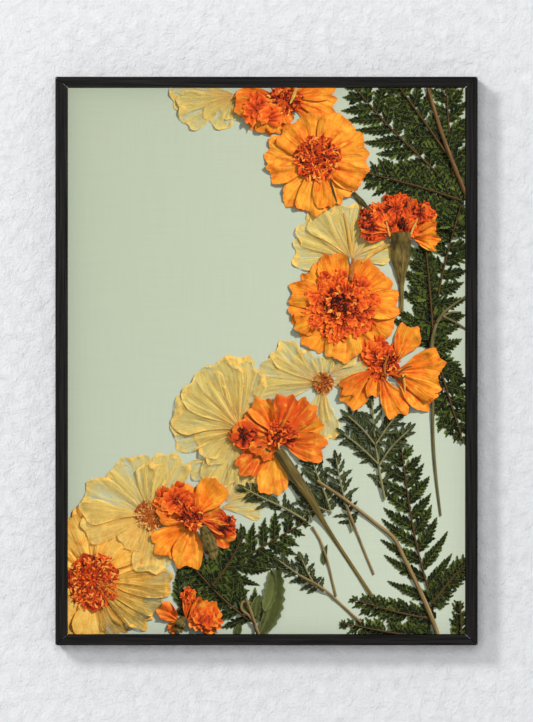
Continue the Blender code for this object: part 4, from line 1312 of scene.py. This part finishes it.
orange_petal = petal_material(
    "orange_petal",
    {
        "Base": (0.62, 0.075, 0.006),
        "Middle": (0.96, 0.215, 0.009),
        "Tip": (1.0, 0.355, 0.020),
        "Dark": (0.76, 0.080, 0.007),
        "Light": (1.0, 0.480, 0.046),
        "Rim": (0.90, 0.22, 0.02),
        "Red": (0.66, 0.055, 0.007),
    },
)
golden_petal = petal_material(
    "golden_petal",
    {
        "Base": (0.92, 0.270, 0.014),
        "Middle": (1.0, 0.430, 0.038),
        "Tip": (1.0, 0.520, 0.075),
        "Dark": (0.90, 0.280, 0.018),
        "Light": (1.0, 0.680, 0.170),
        "Rim": (0.96, 0.420, 0.05),
        "Red": (0.92, 0.280, 0.018),
    },
)
thin_golden_petal = petal_material(
    "thin_golden_petal",
    {
        "Base": (0.94, 0.380, 0.030),
        "Middle": (0.96, 0.520, 0.080),
        "Tip": (0.60, 0.440, 0.110),
        "Dark": (0.36, 0.260, 0.050),
        "Light": (1.0, 0.620, 0.130),
        "Rim": (1.0, 0.480, 0.060),
        "Red": (0.90, 0.400, 0.040),
    },
    veins=SOFT_VEINS,
    see_through=(0.10, 0.85),
)
red_crest = crest_material(
    "red_crest",
    (
        (0.00, (0.028, 0.004, 0.001)),
        (0.08, (0.110, 0.009, 0.001)),
        (0.20, (0.400, 0.030, 0.004)),
        (0.45, (0.840, 0.090, 0.010)),
        (0.72, (0.980, 0.225, 0.018)),
        (1.00, (1.000, 0.520, 0.110)),
    ),
)
PETAL_THICKNESS = 0.12 * MM
FLORET_THICKNESS = 0.1 * MM
brown_calyx = stem_material("dry_calyx", (0.034, 0.024, 0.006), (0.240, 0.165, 0.040))

# Paths in photo pixels, widths in millimetres and flatness of the calyces with their stalks
CALYCES = {
    "bud": (
        ((402, 312), (402, 290), (401, 270), (401, 252), (401, 232)),
        (1.6, 1.9, 2.6, 6.5, 10.5, 11.5, 10.5),
        0.11,
    ),
    "red": (
        ((373, 598), (346, 557), (330, 533), (318, 513), (308, 494), (293, 474), (278, 450)),
        (1.6, 1.7, 1.8, 2.2, 4.4, 6.2, 6.0),
        0.15,
    ),
    "low": (((214, 560), (210, 546), (202, 526)), (2.0, 7.5, 8.5, 6.5, 3.0), 0.13),
    "small": (((177, 632), (179, 627), (183, 617)), (5.0, 6.0, 3.0), 0.15),
}
# Centre in photo pixels, petal material and ruffle, petals as (angle, reach, breadth, tone from red to
# golden, and the pixel they start from where it isn't the centre), patches of ruffles as (pixel, radii,
# count, size, tones), then crest as (pixel, radius, squash, florets, darkness)
MARIGOLDS = {
    "top": (
        (284, 98),
        orange_petal,
        1.4,
        (
            (176, 27, 16, 0.30), (194, 28, 17, 0.20), (213, 25, 17, 0.10), (235, 23, 16, 0.35),
            (256, 20, 14, 0.40), (335, 23, 14, 0.40), (354, 29, 15, 0.55), (14, 29, 15, 0.55),
            (204, 17, 12, 0.03), (240, 15, 11, 0.08), (278, 14, 10, 0.15),
        ),
        (((258, 108), (5.5, 4.5), 8, 2.1, 0.12, 0.40), ((271, 116), (4.5, 3.5), 7, 1.9, 0.20, 0.50)),
        ((285, 99), 9.5, 0.85, 190, 0.35),
    ),
    "round": (
        (317, 160),
        orange_petal,
        1.4,
        (
            (240, 30, 19, 0.95), (170, 29, 22, 0.90), (100, 27, 23, 0.75), (22, 29, 24, 0.75),
            (306, 27, 15, 0.80), (198, 28, 18, 0.80), (138, 26, 20, 0.55), (62, 29, 25, 0.80),
            (350, 29, 20, 0.85), (330, 27, 17, 0.50), (264, 30, 24, 0.95), (286, 27, 15, 0.65),
        ),
        (),
        ((318, 158), 13.0, 1.0, 320, 0.15),
    ),
    "large": (
        (342, 304),
        orange_petal,
        1.5,
        (
            (140, 27, 18, 0.50), (52, 29, 25, 0.35), (24, 30, 20, 0.45), (330, 32, 22, 0.50),
            (188, 30, 17, 0.50), (233, 31, 21, 0.45), (106, 29, 21, 0.60), (4, 32, 21, 0.45),
            (303, 31, 18, 0.50), (165, 30, 18, 0.50), (210, 29, 16, 0.55), (275, 32, 23, 0.98),
        ),
        (((342, 306), (19.0, 18.0), 130, 1.55, 0.16, 0.50), ((341, 304), (10.5, 9.0), 40, 1.0, 0.0, 0.18)),
        ((341, 303), 8.5, 0.85, 150, 1.15),
    ),
    "open": (
        (386, 368),
        orange_petal,
        1.7,
        (
            (232, 27, 18, 0.40, (376, 367)), (214, 23, 12, 0.20, (376, 368)),
            (297, 26, 19, 0.60, (380, 374)), (12, 30, 19, 0.50, (391, 373)),
            (324, 29, 19, 0.60, (391, 373)), (346, 29, 19, 0.55, (390, 373)),
            (70, 23, 18, 0.40, (397, 364)), (262, 15, 10, 0.30, (376, 370)),
        ),
        (((378, 353), (8.5, 6.5), 34, 1.6, 0.15, 0.50), ((384, 366), (7.5, 7.5), 34, 1.3, 0.10, 0.45)),
        ((390, 361), 4.5, 1.2, 50, 0.45),
    ),
    "corner": (
        (93, 582),
        golden_petal,
        1.2,
        (
            (180, 30, 26, 0.5), (212, 30, 24, 0.5), (240, 36, 24, 0.9), (266, 34, 22, 0.9),
            (314, 30, 18, 0.6), (340, 31, 17, 0.7), (24, 42, 22, 0.9), (47, 44, 22, 0.7),
            (70, 42, 22, 0.9), (94, 43, 24, 0.8), (118, 41, 24, 0.9), (148, 34, 24, 0.6), (4, 31, 15, 0.8),
        ),
        (),
        ((93, 582), 14.5, 1.1, 400, 0.0),
    ),
    "bud": (
        (400, 234),
        orange_petal,
        2.2,
        (
            (178, 16, 10, 0.0, (393, 235)), (153, 20, 12, 0.0, (393, 234)),
            (126, 19, 14, 0.25, (396, 233)), (36, 20, 14, 0.15, (405, 232)),
            (62, 20, 15, 0.10, (403, 233)), (94, 20, 19, 0.10, (400, 235)), (14, 16, 9, 0.25, (409, 235)),
            (350, 17, 13, 0.50, (409, 236)),
        ),
        (
            ((400, 222), (7.0, 6.0), 20, 1.5, 0.02, 0.35),
            ((369, 216), (4.3, 4.0), 13, 1.3, 0.0, 0.20),
            ((370, 230), (4.0, 3.6), 12, 1.2, 0.0, 0.15),
            ((382, 211), (4.6, 4.0), 10, 1.4, 0.25, 0.50),
            ((397, 206), (7.6, 4.8), 26, 1.4, 0.0, 0.30),
            ((422, 212), (5.6, 4.4), 15, 1.4, 0.05, 0.32),
            ((391, 231), (3.2, 2.4), 6, 1.2, 0.20, 0.45),
            ((411, 231), (3.2, 2.4), 6, 1.2, 0.20, 0.45),
        ),
        None,
    ),
    "red": (
        (276, 438),
        orange_petal,
        1.9,
        (
            (266, 32, 20, 0.92), (223, 28, 15, 0.03), (177, 25, 18, 0.0), (17, 27, 13, 0.40),
            (42, 28, 16, 0.03), (150, 22, 13, 0.0), (72, 25, 17, 0.0), (342, 28, 21, 0.16),
            (114, 24, 15, 0.28), (200, 16, 12, 0.05), (240, 14, 10, 0.10),
        ),
        (((245, 436), (5.0, 4.0), 7, 2.0, 0.0, 0.20), ((281, 434), (8.0, 6.0), 34, 1.1, 0.02, 0.30)),
        ((277, 437), 5.5, 0.8, 80, 0.40),
    ),
    "low": (
        (194, 519),
        orange_petal,
        1.8,
        (
            (219, 28, 19, 0.50), (261, 28, 21, 0.80), (15, 17, 14, 0.10), (329, 25, 15, 0.04),
            (350, 22, 12, 0.02), (166, 21, 17, 0.25), (132, 22, 19, 0.25), (100, 19, 16, 0.30),
            (60, 25, 21, 0.60),
        ),
        (
            ((174, 500), (7.5, 6.5), 14, 2.1, 0.18, 0.48),
            ((190, 515), (6.0, 6.0), 36, 1.0, 0.05, 0.35),
            ((226, 526), (3.5, 5.0), 9, 1.4, 0.05, 0.25),
        ),
        ((193, 519), 5.5, 1.2, 80, 0.40),
    ),
    "small": (
        (183, 625),
        orange_petal,
        2.0,
        (
            (136, 16, 12, 0.20, (181, 625)), (20, 20, 15, 0.25, (186, 622)),
            (355, 18, 12, 0.30, (186, 622)), (84, 18, 8, 0.15, (185, 622)), (50, 16, 9, 0.10, (186, 622)),
            (200, 9, 8, 0.20),
        ),
        (((206, 620), (6.0, 4.5), 14, 1.7, 0.20, 0.50), ((189, 596), (3.4, 2.6), 8, 1.2, 0.10, 0.40)),
        None,
    ),
}
# The see-through petals beside the corner head, as its others
THIN_PETALS = ((293, 34, 16, 0.2), (318, 39, 15, 0.7), (338, 42, 17, 0.5), (2, 44, 20, 0.3))
for name, (centre_px, material, ruffle, petals, ruffles, crest) in MARIGOLDS.items():
    head = new_batch()
    for angle, reach, breadth, tone, *root in petals:
        start_px = root[0] if root else centre_px
        add_petal(head, card_point(*start_px), angle, reach, breadth, ruffle, tone)
    finish_specimen("marigold_" + name + "_petals", head, PETAL_THICKNESS, material)
    if name == "corner":
        thin = new_batch()
        for angle, reach, breadth, tone in THIN_PETALS:
            add_petal(thin, card_point(*centre_px), angle, reach, breadth, 1.0, tone)
        finish_specimen("marigold_corner_thin_petals", thin, THIN_PETAL, thin_golden_petal)
    dome = new_batch()
    for ruffles_px, radii, count, size, low, high in ruffles:
        add_ruffles(dome, card_point(*ruffles_px), radii, count, size, (low, high))
    if crest:
        crest_px, radius, squash, florets, darkness = crest
        add_crest(dome, card_point(*crest_px), radius * MM, florets, squash, darkness=darkness)
    if ruffles or crest:
        finish_specimen("marigold_" + name + "_crest", dome, FLORET_THICKNESS, red_crest)
    if name in CALYCES:
        calyx_px, widths, flatness = CALYCES[name]
        calyx = new_batch()
        line = line_through(calyx_px, 50)
        add_rib(calyx, line, widths, flatness=flatness)
        finish_specimen("marigold_" + name + "_calyx", calyx, STEM_THICKNESS, brown_calyx)
    if name == "corner":
        lay_pale_blossom("pale_blossom_low", tones=(0.75, 1.0))


# Folds and filaments. Petal edges that rolled up and dried as strips, and the dry styles and filaments
# between the flowers. They lie on top of the rest.

dried_gold = stem_material("dried_gold", (0.48, 0.22, 0.030), (0.88, 0.50, 0.100))
dried_rust = stem_material("dried_rust", (0.20, 0.040, 0.008), (0.62, 0.20, 0.035))
dark_olive = stem_material("dark_olive", (0.012, 0.011, 0.003), (0.130, 0.100, 0.028))
# Paths in photo pixels and widths in millimetres
STRIPS = {
    "golden_folds": (
        dried_gold,
        (
            (((344, 212), (349, 232), (351, 250), (353, 262)), (0.8, 1.6, 1.2)),
            (((362, 262), (374, 251), (390, 244)), (1.0, 2.4, 1.2)),
            (((296, 87), (294, 95), (290, 103)), (1.4, 2.0, 0.6)),
            (((390, 236), (388, 228), (386, 220)), (1.0, 0.9, 0.4)),
            (((411, 234), (414, 226), (418, 219)), (1.0, 1.1, 0.4)),
            (((403, 374), (405, 384), (405, 392)), (1.0, 1.2, 0.6)),
        ),
    ),
    "rusty_styles": (
        dried_rust,
        (
            (((353, 258), (352, 270), (351, 280)), (1.2, 2.8, 2.2)),
            (((386, 378), (384, 366), (389, 354)), (0.8, 1.3, 0.5)),
        ),
    ),
    "dark_filaments": (
        dark_olive,
        (
            (((330, 178), (333, 190), (337, 202)), (0.7, 1.3, 0.6)),
            (((353, 192), (360, 200), (370, 210)), (2.2, 3.6, 1.0)),
            (((336, 312), (342, 305), (350, 300)), (0.8, 1.0, 0.5)),
            (((334, 298), (342, 303), (347, 312)), (0.6, 0.9, 0.5)),
            (((271, 452), (262, 446), (253, 448)), (0.9, 0.7, 0.4)),
            (((398, 374), (404, 368), (412, 366)), (0.8, 0.7, 0.4)),
            (((397, 378), (402, 379), (406, 375)), (0.8, 0.6, 0.4)),
        ),
    ),
}
for name, (material, strips) in STRIPS.items():
    folds = new_batch()
    for path_px, widths in strips:
        line = line_through(path_px, 24)
        add_rib(folds, line, widths, tone=random.uniform(0, 1), flatness=0.12)
    finish_specimen(name, folds, THIN_PETAL, material)


# What each lamp lights. The card lamp serves the card and all that is pressed on it, and the other three
# the wall and the frame. No rail throws a shadow on the card.

on_card = bpy.data.collections.new("on_card")
around_card = bpy.data.collections.new("around_card")
for piece in scene.objects:
    if piece in pressed or piece.name == "backing_card":
        on_card.objects.link(piece)
    elif piece.type == "MESH" and piece.name != "glass_pane":
        around_card.objects.link(piece)
lamps["card_lamp"].light_linking.receiver_collection = on_card
lamps["card_lamp"].light_linking.blocker_collection = on_card
for lamp_name in ("wall_lamp", "wall_fill", "back_lamp"):
    lamps[lamp_name].light_linking.receiver_collection = around_card
